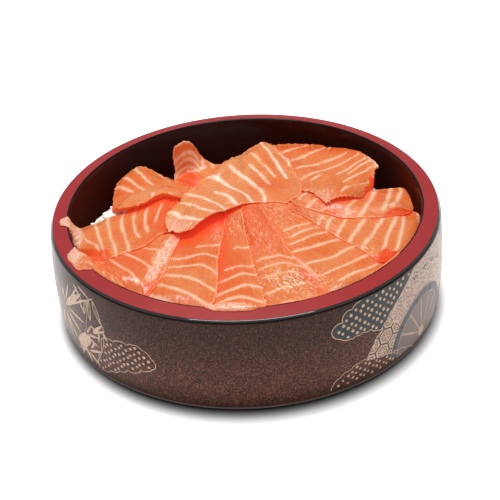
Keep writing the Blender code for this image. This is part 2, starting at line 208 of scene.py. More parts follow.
def salmon_material():
    g = Graph("salmon_flesh")
    s, gap, um, vm, lw = (g.attr(k) for k in ("s", "gap", "um", "vm", "lw"))
    side, tone_and_red_shade, fat, seed, cut = (g.attr(k) for k in ("side", "tone_and_red_shade", "fat", "seed", "cut"))
    spk, edge, near = g.attr("spk"), g.attr("edge"), g.attr("near")
    flat = g.vec(um, vm, seed)                      # millimetres on the slice
    fibre = g.noise(g.scale(flat, (0.13, 0.85, 1.0)), 1.0, 3.0, 0.7)
    fine = g.noise(g.scale(flat, (0.6, 3.2, 1.0)), 1.0, 2.0, 0.6)
    # the fat lines, combed by the fibres that cross them
    slow = g.noise(g.scale(flat, (0.05, 0.09, 1.0)), 1.0, 2.0)
    jag = g.noise(g.scale(flat, (0.45, 1.0, 1.0)), 1.0, 3.0, 0.65)
    shift = g.m("MULTIPLY_ADD", g.m("SUBTRACT", slow, 0.5), 1.6, g.m("MULTIPLY", g.m("SUBTRACT", jag, 0.5), 2.0))
    shift = g.m("MULTIPLY_ADD", g.m("SUBTRACT", fine, 0.5), 0.8, shift)
    s2 = g.m("ADD", s, g.m("DIVIDE", shift, gap))
    f = g.m("FRACT", s2)
    d = g.m("MULTIPLY", g.m("MINIMUM", f, g.m("SUBTRACT", 1.0, f)), gap)
    wn = g.noise(g.scale(flat, (0.10, 0.14, 2.3)), 1.0, 3.0, 0.6)
    half = g.m("MULTIPLY", lw, g.m("MULTIPLY_ADD", wn, 1.9, 0.45))
    half = g.m("MULTIPLY", half, g.m("MULTIPLY_ADD", fibre, 1.1, 0.45))
    line = g.m("SUBTRACT", 1.0, g.step(d, g.m("MULTIPLY", half, 0.05), g.m("MULTIPLY_ADD", half, 1.40, 0.36)))
    line = g.m("MULTIPLY", line, g.step(wn, 0.28, 0.46, 0.4, 1.0))
    line = g.m("MULTIPLY", line, g.step(lw, 0.08, 0.35))
    # flesh between them: paler close to a line, deeper in the middle
    halo = g.m("SUBTRACT", 1.0, g.step(d, 0.4, 3.8))
    broad = g.noise(g.scale(flat, (0.05, 0.06, 3.1)), 1.0, 2.0)
    light = g.m("MULTIPLY_ADD", g.m("MULTIPLY", halo, g.step(lw, 0.1, 0.4)), 0.28, 0.25)
    light = g.m("MULTIPLY_ADD", g.m("SUBTRACT", fibre, 0.5), 0.75, light)
    light = g.m("MULTIPLY_ADD", g.m("SUBTRACT", fine, 0.5), 0.30, light)
    light = g.m("MULTIPLY_ADD", g.m("SUBTRACT", broad, 0.5), 0.9, light)
    # painted red shade: where the tone is raised by red patches the flesh is deepened and reddened, mostly as shade
    # under other slices and partly as redder flesh; a lowered tone lightens the flesh and whitens the lines
    light = g.m("SUBTRACT", light, g.m("MULTIPLY", tone_and_red_shade, 0.6), clamp=True)
    flesh = g.mix(light, FLESH_DEEP, FLESH_PALE)
    flesh = g.mix(g.m("MULTIPLY", tone_and_red_shade, 0.75, clamp=True), flesh, FLESH_RED_SHADE)
    white = g.m("MULTIPLY", tone_and_red_shade, -5.0, clamp=True)
    col = g.mix(g.m("MULTIPLY", line, g.m("MULTIPLY_ADD", white, 0.12, 0.80)), flesh, g.mix(white, FAT, FAT_WHITE))
    # wet patches: fibre streaks in orange and fat colour, and pale specks between them that are painted glints
    comb = g.noise(g.scale(flat, (0.12, 1.15, 5.0)), 1.0, 2.0, 0.6)
    drop = g.noise(g.scale(flat, (0.32, 1.15, 9.0)), 1.0, 2.0, 0.6)
    col = g.mix(g.m("MULTIPLY", spk, g.step(comb, 0.48, 0.58, 0.0, 0.7)), col, (0.50, 0.20, 0.020))
    col = g.mix(g.m("MULTIPLY", spk, g.step(comb, 0.46, 0.36, 0.0, 0.5)), col, FAT)
    col = g.mix(g.m("MULTIPLY", spk, g.step(drop, 0.56, 0.63), clamp=True), col, (0.74, 0.68, 0.52))
    # broad pale fat, broken up by fibres
    ragged = g.m("ADD", fat, g.m("MULTIPLY", g.m("SUBTRACT", jag, 0.5), 0.9))
    pale = g.step(ragged, 0.35, 0.75)
    spots = g.step(g.noise(g.scale(flat, (0.6, 0.6, 1.0)), 1.0, 3.0, 0.6), 0.38, 0.60, 0.35, 1.0)
    col = g.mix(g.m("MULTIPLY", g.m("MULTIPLY", pale, spots), 0.9), col, FAT_BROAD)
    # painted red shade in the folds, close to the border of a slice that lies on this one
    col = g.mix(g.m("MULTIPLY", near, 0.62), col, FOLD_SHADE_RED)
    # cut sides are a cleaner orange
    col = g.mix(g.m("MULTIPLY", side, 0.35), col, CUT)
    col = g.mix(g.m("MULTIPLY", cut, g.m("MULTIPLY_ADD", fibre, 0.4, 0.76), clamp=True), col, CUT)
    # painted light: thin edges are lightened towards the fat colour, as if light came through them
    thin = g.m("MULTIPLY", g.m("SUBTRACT", 1.0, g.step(edge, 0.2, 1.5)), g.step(jag, 0.35, 0.65, 0.06, 0.48))
    col = g.mix(g.m("MULTIPLY", thin, g.m("SUBTRACT", 1.0, cut)), col, FAT)
    g.set(Base_Color=col)
    wet = g.noise(g.scale(flat, (0.30, 0.55, 1.7)), 1.0, 3.0, 0.6)
    g.set(Roughness=g.m("SUBTRACT", g.step(wet, 0.35, 0.65, 0.20, 0.40), g.m("MULTIPLY", spk, 0.08)))
    g.set(IOR=1.36, Subsurface_Weight=0.35, Subsurface_Scale=0.003)
    g.b.inputs["Subsurface Radius"].default_value = (1.0, 0.25, 0.10)
    # painted glow: the emission stands in for light seeping through the flesh; it is stronger at the sides and cut
    # faces, in the red-shaded patches and in the painted red shade of the folds
    glow = g.mix(side, (0.22, 0.008, 0.001), (0.34, 0.080, 0.022))
    glow = g.mix(cut, glow, (0.26, 0.004, 0.0))
    glow = g.mix(g.m("MULTIPLY", tone_and_red_shade, 0.8, clamp=True), glow, (0.42, 0.018, 0.010))
    glow = g.mix(g.m("MULTIPLY", near, 0.85), glow, (0.52, 0.026, 0.012))
    g.set(Emission_Color=glow, Emission_Strength=1.0)
    g.set(Coat_Weight=0.15, Coat_Roughness=0.1)
    # relief in millimetres: fibres, lines, a slow swell and wet beads
    h = g.m("MULTIPLY_ADD", fibre, 0.16, g.m("MULTIPLY", fine, 0.05))
    h = g.m("MULTIPLY_ADD", line, 0.05, h)
    h = g.m("MULTIPLY_ADD", g.noise(g.scale(flat, (0.16, 0.22, 4.0)), 1.0, 2.0), 0.35, h)
    beads = g.noise(g.scale(flat, (0.75, 0.95, 2.0)), 1.0, 2.0, 0.5)
    h = g.m("MULTIPLY_ADD", g.m("MULTIPLY", beads, g.m("ADD", spk, 0.12)), 1.0, h)
    g.bump(h, 1.0, 0.001)
    return g.mat


def rice_material():
    g = Graph("cooked_rice_grain")
    v = g.coords()
    big = g.noise(v, 90.0, 2.0)
    small = g.noise(v, 900.0, 2.0)
    col = g.mix(g.step(big, 0.35, 0.65), lin(246, 242, 234), lin(236, 230, 218))
    g.set(Base_Color=g.mix(g.m("MULTIPLY", small, 0.18), col, lin(222, 212, 196)))
    g.set(Roughness=0.34, Subsurface_Weight=0.45, Subsurface_Scale=0.002, Coat_Weight=0.25, Coat_Roughness=0.2)
    # painted glow: a faint emission lightens the grains
    g.set(Emission_Color=(1.0, 0.93, 0.86), Emission_Strength=0.08)
    g.b.inputs["Subsurface Radius"].default_value = (1.0, 0.85, 0.65)
    g.bump(small, 0.25, 0.0002)
    return g.mat


def core_material():
    g = Graph("rice_core")
    v = g.coords()
    cells = g.voronoi(g.scale(v, (1.0, 1.0, 1.4)), 260.0)
    shade = g.noise(v, 60.0, 3.0)
    # grain-sized cells, darker towards their borders: painted shade between the grains
    col = g.mix(g.step(cells.outputs["Distance"], 0.1, 0.6), lin(244, 239, 226), lin(206, 196, 176))
    g.set(Base_Color=g.mix(g.m("MULTIPLY", shade, 0.3), col, lin(228, 216, 194)))
    g.set(Roughness=0.5, Subsurface_Weight=0.3, Subsurface_Scale=0.002)
    g.bump(g.m("SUBTRACT", 1.0, cells.outputs["Distance"]), 0.8, 0.0012)
    return g.mat


def wear(g, v, amount):
    """A little dust and rubbing: rare pale specks."""
    cell = g.voronoi(v, 160.0)
    size = g.noise(v, 70.0, 2.0)
    near = g.step(cell.outputs["Distance"], 0.10, 0.05)
    return g.m("MULTIPLY", near, g.step(size, 0.62, 0.66, 0.0, amount))


def red_material():
    g = Graph("lacquer_red")
    v = g.coords()
    x, y, z = g.split(v)
    cloud = g.noise(v, 22.0, 3.0, 0.6)
    grain = g.noise(v, 700.0, 2.0)
    # painted light: the red is more saturated right of the front and lighter at the front, standing in for how the
    # light is reflected there
    painted_dark_right_front = g.m("MULTIPLY", g.m("MULTIPLY", g.step(x, 0.010, 0.045), g.step(x, 0.105, 0.070)), g.step(y, -0.060, -0.085))
    painted_light_front = g.m("MULTIPLY", g.step(y, -0.075, -0.112), g.step(x, 0.050, -0.020))
    col = g.mix(painted_dark_right_front, lin(148, 46, 48), lin(150, 40, 42))
    col = g.mix(painted_light_front, col, lin(155, 51, 50))
    col = g.mix(g.m("MULTIPLY", g.step(cloud, 0.3, 0.7), 0.35), col, lin(140, 34, 36))
    col = g.mix(g.m("MULTIPLY", grain, 0.12), col, lin(130, 34, 44))
    g.set(Base_Color=g.mix(wear(g, v, 0.7), col, lin(226, 190, 188)))
    g.set(Roughness=g.step(cloud, 0.3, 0.7, 0.46, 0.54), IOR=1.5)
    g.b.inputs["Specular IOR Level"].default_value = 0.12
    g.bump(grain, 0.05, 0.0002)
    return g.mat


def black_material(name="lacquer_black", level=0.12, dark=lin(44, 12, 7), light=lin(54, 16, 10), rough=(0.14, 0.22), painted_side_reflection=(0.9, 1.0), coat=0.0):
    g = Graph(name)
    v = g.coords()
    cloud = g.noise(v, 18.0, 3.0, 0.6)
    grain = g.noise(v, 500.0, 2.0)
    col = g.mix(cloud, dark, light)
    x, y, z = g.split(v)
    # painted reflection: the inside turns a lighter warm brown towards the left and right
    col = g.mix(g.m("MULTIPLY", g.step(x, -0.070, -0.106), painted_side_reflection[0]), col, lin(84, 32, 22))
    col = g.mix(g.m("MULTIPLY", g.step(x, 0.094, 0.110), painted_side_reflection[1]), col, lin(96, 36, 20))
    g.set(Base_Color=g.mix(wear(g, v, 0.5), col, lin(120, 100, 96)))
    g.set(Roughness=g.step(cloud, 0.3, 0.7, *rough), IOR=1.5)
    g.b.inputs["Specular IOR Level"].default_value = level
    g.set(Coat_Weight=coat, Coat_Roughness=0.06)
    g.bump(grain, 0.005, 0.0001)
    return g.mat


def brown_material():
    g = Graph("lacquer_brown")
    v = g.coords()
    x, y, z = g.split(v)
    fine = g.noise(v, 1150.0, 2.0, 0.75)
    mid = g.noise(g.scale(v, (1.0, 1.0, 1.15)), 720.0, 2.0, 0.75)
    cloud = g.noise(v, 24.0, 3.0, 0.6)
    col = g.mix(g.step(mid, 0.40, 0.62), lin(38, 19, 15), lin(90, 49, 34))
    col = g.mix(g.step(fine, 0.54, 0.64, 0.0, 0.85), col, lin(150, 88, 60))
    col = g.mix(g.step(fine, 0.46, 0.36, 0.0, 0.85), col, lin(13, 7, 7))
    col = g.mix(g.m("MULTIPLY", cloud, 0.2), col, lin(66, 46, 42))
    # painted shade: the wall is darker towards the top, and darker again close to the bottom
    col = g.mix(g.step(z, 0.018, 0.060, 0.10, 0.58), col, lin(26, 14, 11))
    col = g.mix(g.step(z, 0.016, 0.004, 0.0, 0.40), col, lin(24, 13, 11))
    # painted highlight: a pale line along the bottom edge of the wall
    foot_highlight = g.step(z, 0.0044, 0.0032, 0.0, 0.45)
    g.set(Base_Color=g.mix(foot_highlight, col, lin(140, 126, 120)))
    g.set(Roughness=g.step(cloud, 0.3, 0.7, 0.26, 0.34), IOR=1.5)
    g.b.inputs["Specular IOR Level"].default_value = 0.14
    g.set(Sheen_Weight=0.14, Sheen_Roughness=0.22)
    g.bump(g.m("MULTIPLY_ADD", fine, 0.6, mid), 0.10, 0.0002)
    return g.mat


def gold_material():
    g = Graph("gold_paint")
    v = g.coords()
    n = g.noise(v, 500.0, 3.0, 0.7)
    rub = g.noise(v, 110.0, 3.0, 0.6)
    col = g.mix(g.step(n, 0.35, 0.65), lin(158, 126, 102), lin(186, 154, 127))
    g.set(Base_Color=g.mix(g.step(rub, 0.56, 0.74, 0.0, 0.5), col, lin(120, 90, 74)))
    g.set(Roughness=0.5, Metallic=0.1, Coat_Weight=0.15, Coat_Roughness=0.3)
    g.set(Sheen_Weight=0.20, Sheen_Roughness=0.25)
    g.bump(n, 0.1, 0.0002)
    return g.mat


def dark_material(name="dark_paint", dark=lin(18, 22, 24), light=lin(34, 39, 41)):
    g = Graph(name)
    v = g.coords()
    n = g.noise(v, 420.0, 3.0, 0.6)
    g.set(Base_Color=g.mix(n, dark, light), Roughness=0.5, Coat_Weight=0.1, Coat_Roughness=0.3)
    g.set(Sheen_Weight=0.20, Sheen_Roughness=0.25)
    g.b.inputs["Specular IOR Level"].default_value = 0.3
    g.bump(n, 0.08, 0.0002)
    return g.mat


def lattice_material():
    """A fine gold mesh on the brown ground, with a dark dot in each knot."""
    g = Graph("lattice_paint")
    v = g.coords()
    n = g.noise(v, 900.0, 2.0, 0.8)
    mesh = g.voronoi(v, 620.0, "DISTANCE_TO_EDGE").outputs["Distance"]
    col = g.mix(g.step(mesh, 0.08, 0.22), lin(180, 148, 126), lin(92, 72, 63))
    col = g.mix(g.m("MULTIPLY", n, 0.4), col, lin(150, 122, 106))
    knots = g.voronoi(v, 205.0).outputs["Distance"]
    g.set(Base_Color=g.mix(g.step(knots, 0.24, 0.12, 0.0, 0.75), col, lin(52, 42, 40)))
    g.set(Roughness=0.5, Coat_Weight=0.15, Coat_Roughness=0.3)
    g.set(Sheen_Weight=0.28, Sheen_Roughness=0.25)
    g.bump(mesh, 0.1, 0.0002)
    return g.mat


def floor_material():
    g = Graph("pale_floor")
    v = g.coords()
    n = g.noise(v, 3.0, 2.0)
    x, y, z = g.split(v)
    y = g.m("ADD", y, 0.006)
    r = g.m("SQRT", g.m("ADD", g.m("MULTIPLY", x, x), g.m("MULTIPLY", y, y)))
    pale = g.mix(n, (0.90, 0.90, 0.90), (0.92, 0.92, 0.92))
    # painted contact shadow: the floor is dark in a ring under the tub's edge, and its emission, zero there, rises
    # outwards to wash out the cast shadow
    g.set(Base_Color=g.mix(g.step(r, 0.112, 0.124), (0.12, 0.125, 0.13), pale), Roughness=0.9)
    g.set(Emission_Color=(1.0, 1.0, 1.0), Emission_Strength=g.step(r, 0.114, 0.131, 0.0, 0.75))
    g.b.inputs["Specular IOR Level"].default_value = 0.1
    return g.mat


FLESH_DEEP, FLESH_PALE, FLESH_RED_SHADE = (0.44, 0.108, 0.016), (0.50, 0.288, 0.118), (0.43, 0.045, 0.010)
FAT, FAT_BROAD, CUT = (0.62, 0.49, 0.34), (0.62, 0.49, 0.37), (0.48, 0.044, 0.001)
FAT_WHITE, FOLD_SHADE_RED = (0.73, 0.61, 0.50), (0.46, 0.018, 0.010)
MAT_SALMON = salmon_material()
MAT_RICE = rice_material()
MAT_CORE = core_material()
MAT_RED = red_material()
MAT_BLACK = black_material()
MAT_BROWN = brown_material()
MAT_GOLD = gold_material()
MAT_DARK = dark_material()
MAT_SLATE = dark_material("slate_paint", lin(44, 48, 54), lin(66, 70, 76))
MAT_MIST = dark_material("thin_gold_paint", lin(88, 72, 65), lin(112, 95, 87))
MAT_LATTICE = lattice_material()
MAT_EDGE = black_material("lacquer_edge", 0.8, lin(10, 4, 4), lin(16, 7, 6), (0.08, 0.12), (0.0, 0.0), 0.9)
MAT_RING = black_material("lacquer_ring", 0.2, lin(12, 6, 6), lin(20, 10, 9), (0.14, 0.22), (0.0, 0.0))

# --------------------------------------------------------------------- tub
LIP_R, BELLY_R, BASE_R, BASE_Z = 121.2, 122.4, 120.3, -1.0
FLOOR_Z, RECESS_Z = 20.0, 14.5
STEPS = 360


def wall_r(z):
    t = np.clip((58.8 - z) / (58.8 - BASE_Z), 0.0, 1.0)
    return (1 - t) * LIP_R + t * BASE_R + 4 * t * (1 - t) * (BELLY_R - (LIP_R + BASE_R) / 2)


def tub():
    p = [(0.0, FLOOR_Z, "black"), (40.0, FLOOR_Z, "black"), (80.0, FLOOR_Z, "black"), (102.5, FLOOR_Z, "black")]
    for k in range(1, 9):
        a = math.radians(90 * k / 8)
        p.append((102.5 + 5.8 * math.sin(a), FLOOR_Z + 5.8 * (1 - math.cos(a)), "black"))
    for z in (34.0, 43.0, 52.0, 58.0, 61.5):
        p.append((108.3 + (z - 25.8) / 35.7, z, "black"))
    p += [(109.42, 62.6, "ring"), (109.58, 63.15, "ring"), (109.85, 63.48, "ring"), (110.1, 63.57, "ring")]
    p += [(110.7, 63.52, "red"), (111.6, 63.36, "red"), (113.5, 63.0, "red"), (115.5, 62.6, "red"),
          (117.5, 62.15, "red"), (119.0, 61.78, "red"), (119.35, 61.68, "red")]
    p += [(119.42, 61.64, "edge"), (119.80, 61.27, "edge"), (120.15, 60.92, "edge"), (120.48, 60.56, "ring"), (120.80, 60.10, "ring"), (121.02, 59.7, "brown"), (121.12, 59.3, "brown"), (121.2, 58.9, "brown")]
    for z in np.linspace(57.5, BASE_Z, 27):
        p.append((float(wall_r(z)), float(z), "brown"))
    p += [(120.12, -1.45, "brown"), (119.7, -1.85, "brown"), (119.1, -2.05, "black"), (116.4, -2.4, "black"), (115.75, -2.7, "black"),
          (115.5, -3.85, "black"), (115.3, -4.0, "black"), (110.7, -4.0, "black"), (110.4, -3.8, "black"), (109.3, -2.5, "black"), (107.5, RECESS_Z - 3.0, "black"), (106.6, RECESS_Z - 1.2, "black"),
          (105.0, RECESS_Z - 0.2, "black"), (103.5, RECESS_Z, "black"), (50.0, RECESS_Z, "black"), (0.0, RECESS_Z, "black")]
    v, f, i = lathe(p, STEPS, {"black": 0, "red": 1, "brown": 2, "edge": 3, "ring": 4})
    ob = mesh_object("tub_visual", v, f, [MAT_BLACK, MAT_RED, MAT_BROWN, MAT_EDGE, MAT_RING], index=i, sharp=40)
    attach(ob, "root")
    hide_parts("bowl")
    return ob


# ------------------------------------------------------- pattern on the wall
class Decals:
    """Thin paint on the wall, drawn in (arc, height) millimetres; arc is
    measured from the front, to the right, at a radius of 121.5 mm."""

    def __init__(self, lift):
        self.v, self.f, self.lift = [], [], lift
        self.turn = 0.0

    def at(self, pts, lift=None):
        pts = np.asarray(pts, float)
        a = pts[:, 0] / 121.5 + self.turn
        r = wall_r(pts[:, 1]) + (self.lift if lift is None else lift)
        return np.stack([r * np.sin(a), -r * np.cos(a), pts[:, 1]], -1)

    def add(self, pts, faces, lift=None):
        base = len(self.v)
        self.v += self.at(pts, lift).tolist()
        self.f += [tuple(base + i for i in f) for f in faces]

    def ribbon(self, pts, width, closed=False, taper=False, lift=None):
        p = np.asarray(pts, float)
        if closed:
            p = np.vstack([p, p[:1]])
        seg = np.hypot(*(p[1:] - p[:-1]).T)
        t = np.concatenate([[0], np.cumsum(seg)])
        n = max(2, int(t[-1] / 0.8))
        q = np.linspace(0, t[-1], n + 1)
        c = np.stack([np.interp(q, t, p[:, 0]), np.interp(q, t, p[:, 1])], -1)
        d = np.gradient(c, axis=0)
        d /= np.maximum(np.hypot(d[:, 0], d[:, 1]), 1e-9)[:, None]
        nrm = np.stack([-d[:, 1], d[:, 0]], -1)
        w = np.full(n + 1, width / 2.0)
        if taper:
            w *= np.clip(1.15 - np.linspace(0, 1, n + 1), 0.15, 1)
        pts2 = np.vstack([c + nrm * w[:, None], c - nrm * w[:, None]])
        pts2[:, 1] = np.clip(pts2[:, 1], 1.7, 59.4)
        self.add(pts2, [(i, i + 1, n + 2 + i, n + 1 + i) for i in range(n)], lift)

    def dot(self, x, z, r, lift=None):
        if not 1.9 + r < z < 59.2 - r:
            return
        k = 10
        a = np.arange(k) / k * math.tau
        pts = [(x, z)] + [(x + r * math.cos(t), z + r * math.sin(t)) for t in a]
        self.add(pts, [(0, 1 + i, 1 + (i + 1) % k) for i in range(k)], lift)

    def fill(self, outline, lift=None, pitch=3.0):
        o = np.asarray(outline, float)
        o[:, 1] = np.clip(o[:, 1], 1.7, 59.4)
        dense = []
        for a, b in zip(o, np.roll(o, -1, axis=0)):
            n = max(1, int(math.hypot(*(b - a)) / 2.0))
            dense += [a + (b - a) * i / n for i in range(n)]
        m = len(dense)
        extra = [(x, z) for x in np.arange(o[:, 0].min(), o[:, 0].max(), pitch)
                 for z in np.arange(o[:, 1].min(), o[:, 1].max(), pitch) if inside((x, z), o)]
        pts = [Vector((float(p[0]), float(p[1]))) for p in dense] + [Vector(p) for p in extra]
        out = delaunay_2d_cdt(pts, [], [list(range(m))], 1, 1e-5)
        self.add([(p.x, p.y) for p in out[0]], [tuple(f) for f in out[2]], lift)

    def object(self, name, mat):
        ob = mesh_object(name, self.v, self.f, [mat])
        return ob


def inside(p, poly):
    """Whether a point lies in a polygon."""
    x, y = p
    hit = False
    q = len(poly) - 1
    for i in range(len(poly)):
        x1, y1, x2, y2 = poly[i][0], poly[i][1], poly[q][0], poly[q][1]
        if (y1 > y) != (y2 > y) and x < (x2 - x1) * (y - y1) / (y2 - y1) + x1:
            hit = not hit
        q = i
    return hit


def far_from(p, poly, least):
    """Whether a point is at least so far from a polygon's outline."""
    p = np.array(p)
    a = np.asarray(poly, float)
    b = np.roll(a, -1, axis=0)
    ab = b - a
    t = np.clip(((p - a) * ab).sum(1) / np.maximum((ab * ab).sum(1), 1e-9), 0, 1)
    return np.hypot(*(a + ab * t[:, None] - p).T).min() >= least


def lobes(points, bulge, closed=True):
    """A cloud outline: an arc swelling outwards over each side."""
    p = [np.array(q, float) for q in points]
    area = sum(a[0] * b[1] - b[0] * a[1] for a, b in zip(p, p[1:] + p[:1]))
    sgn = 1 if area > 0 else -1
    out = []
    pairs = list(zip(p, p[1:] + p[:1])) if closed else list(zip(p, p[1:]))
    for a, b in pairs:
        d = b - a
        n = np.array([d[1], -d[0]]) * sgn
        for t in np.linspace(0, 1, 9)[:-1]:
            out.append(a + d * t + n * bulge * 4 * t * (1 - t))
    if not closed:
        out.append(p[-1])
    return np.array(out)


def leaf(x, z, heading, length, width, n=7):
    """Outline of a pointed leaf that starts at (x, z)."""
    a = math.radians(heading)
    t = np.linspace(0, 1, n)
    w = width / 2 * np.sin(math.pi * t ** 0.8) ** 0.8
    up = np.stack([t * length, w], -1)
    dn = np.stack([t * length, -w], -1)[::-1][1:-1]
    o = np.vstack([up, dn])
    return o @ np.array([[math.cos(a), math.sin(a)], [-math.sin(a), math.cos(a)]]) + (x, z)


CLOUD_LEFT = [(-97.6, 30.2), (-93.1, 31.7), (-89.0, 31.3), (-84.8, 33.5), (-80.9, 34.1), (-78.0, 33.4), (-74.1, 35.2), (-67.3, 33.6),
              (-61.8, 29.2), (-59.1, 24.1), (-62.1, 21.2), (-65.8, 18.8), (-70.1, 18.1), (-73.4, 14.8), (-77.3, 13.6), (-80.2, 14.3),
              (-87.3, 10.3), (-94.9, 6.9), (-102.3, 3.3), (-107.2, 3.6), (-105.3, 9.3), (-100.0, 18.4), (-99.7, 24.0)]
CLOUD_UP = [(45.7, 43.0), (47.1, 47.6), (53.0, 48.9), (54.0, 54.0), (59.6, 55.6), (64.5, 58.6), (74.0, 59.2), (84.0, 59.4),
            (94.0, 59.7), (111.5, 59.8), (100.9, 51.0), (90.0, 43.4), (86.9, 40.6), (79.4, 33.1), (76.3, 33.9), (71.8, 36.8),
            (66.0, 37.2), (61.1, 36.7), (57.1, 36.2), (50.6, 38.6)]
CLOUD_LOW = [(44.7, -0.7), (45.0, 2.0), (46.4, 6.5), (50.4, 9.8), (57.2, 13.1), (64.0, 15.6), (68.4, 16.3), (73.0, 13.6), (77.0, 14.3),
             (82.5, 11.6), (88.9, 9.7), (95.0, 8.3), (103.0, 5.2), (110.0, 2.0), (114.0, -0.7)]
BAND_LEFT = [(68.5, 14.8), (72.6, 24.1), (79.4, 32.9), (86.9, 40.6), (96.1, 47.6), (104.5, 53.6), (112.0, 59.0)]
HUB = (120.7, 6.5)
WHEEL_R, WHEEL_W = 31.9, 5.4
# bamboo leaves: root x and z, heading, length, width
LEAVES = [(-140.0, 31.6, 41, 31.8, 6.5), (-140.0, 31.6, 33, 37.4, 2.0), (-125.2, 55.4, -36, 12.0, 2.4), (-120.2, 56.6, -16, 14.0, 1.8),
          (-118.8, 47.6, -60, 9.5, 2.4), (-138.9, 30.1, -24, 21.0, 3.2), (-136.5, 32.3, 0, 23.1, 2.6), (-141.5, 27.7, -66, 19.4, 3.0),
          (-141.0, 27.0, -44, 24.0, 3.2), (-144.1, 26.0, -114, 20.0, 3.0), (-146.4, 25.3, -90, 18.0, 2.8), (-139.0, 34.4, 124, 12.3, 2.6),
          (-138.8, 35.4, 67, 17.6, 2.4), (-144.4, 29.6, -161, 24.0, 3.0), (-131.5, 39.7, 54, 19.0, 2.2), (-140.5, 34.0, 96, 15.0, 2.4),
          (-106.9, 30.0, 43, 14.0, 2.8), (-107.4, 28.9, 30, 14.6, 2.2), (-100.8, 32.3, -101, 8.0, 2.2), (-97.8, 34.6, -52, 7.4, 2.2),
          (-103.6, 32.4, 164, 6.0, 1.8), (-114.8, 22.6, -8, 13.0, 2.4), (-113.1, 25.1, 14, 11.8, 2.2), (-114.1, 25.3, 55, 10.3, 2.0),
          (-114.9, 11.7, -160, 17.0, 2.8), (-114.9, 11.7, 24, 16.4, 2.6), (-118.8, 12.1, -58, 10.5, 3.8), (-115.2, 10.7, -30, 12.0, 3.0),
          (-120.8, 10.3, -122, 9.0, 2.2), (-111.6, 15.2, 52, 9.0, 2.0), (-117.0, 12.6, 150, 10.0, 2.4)]


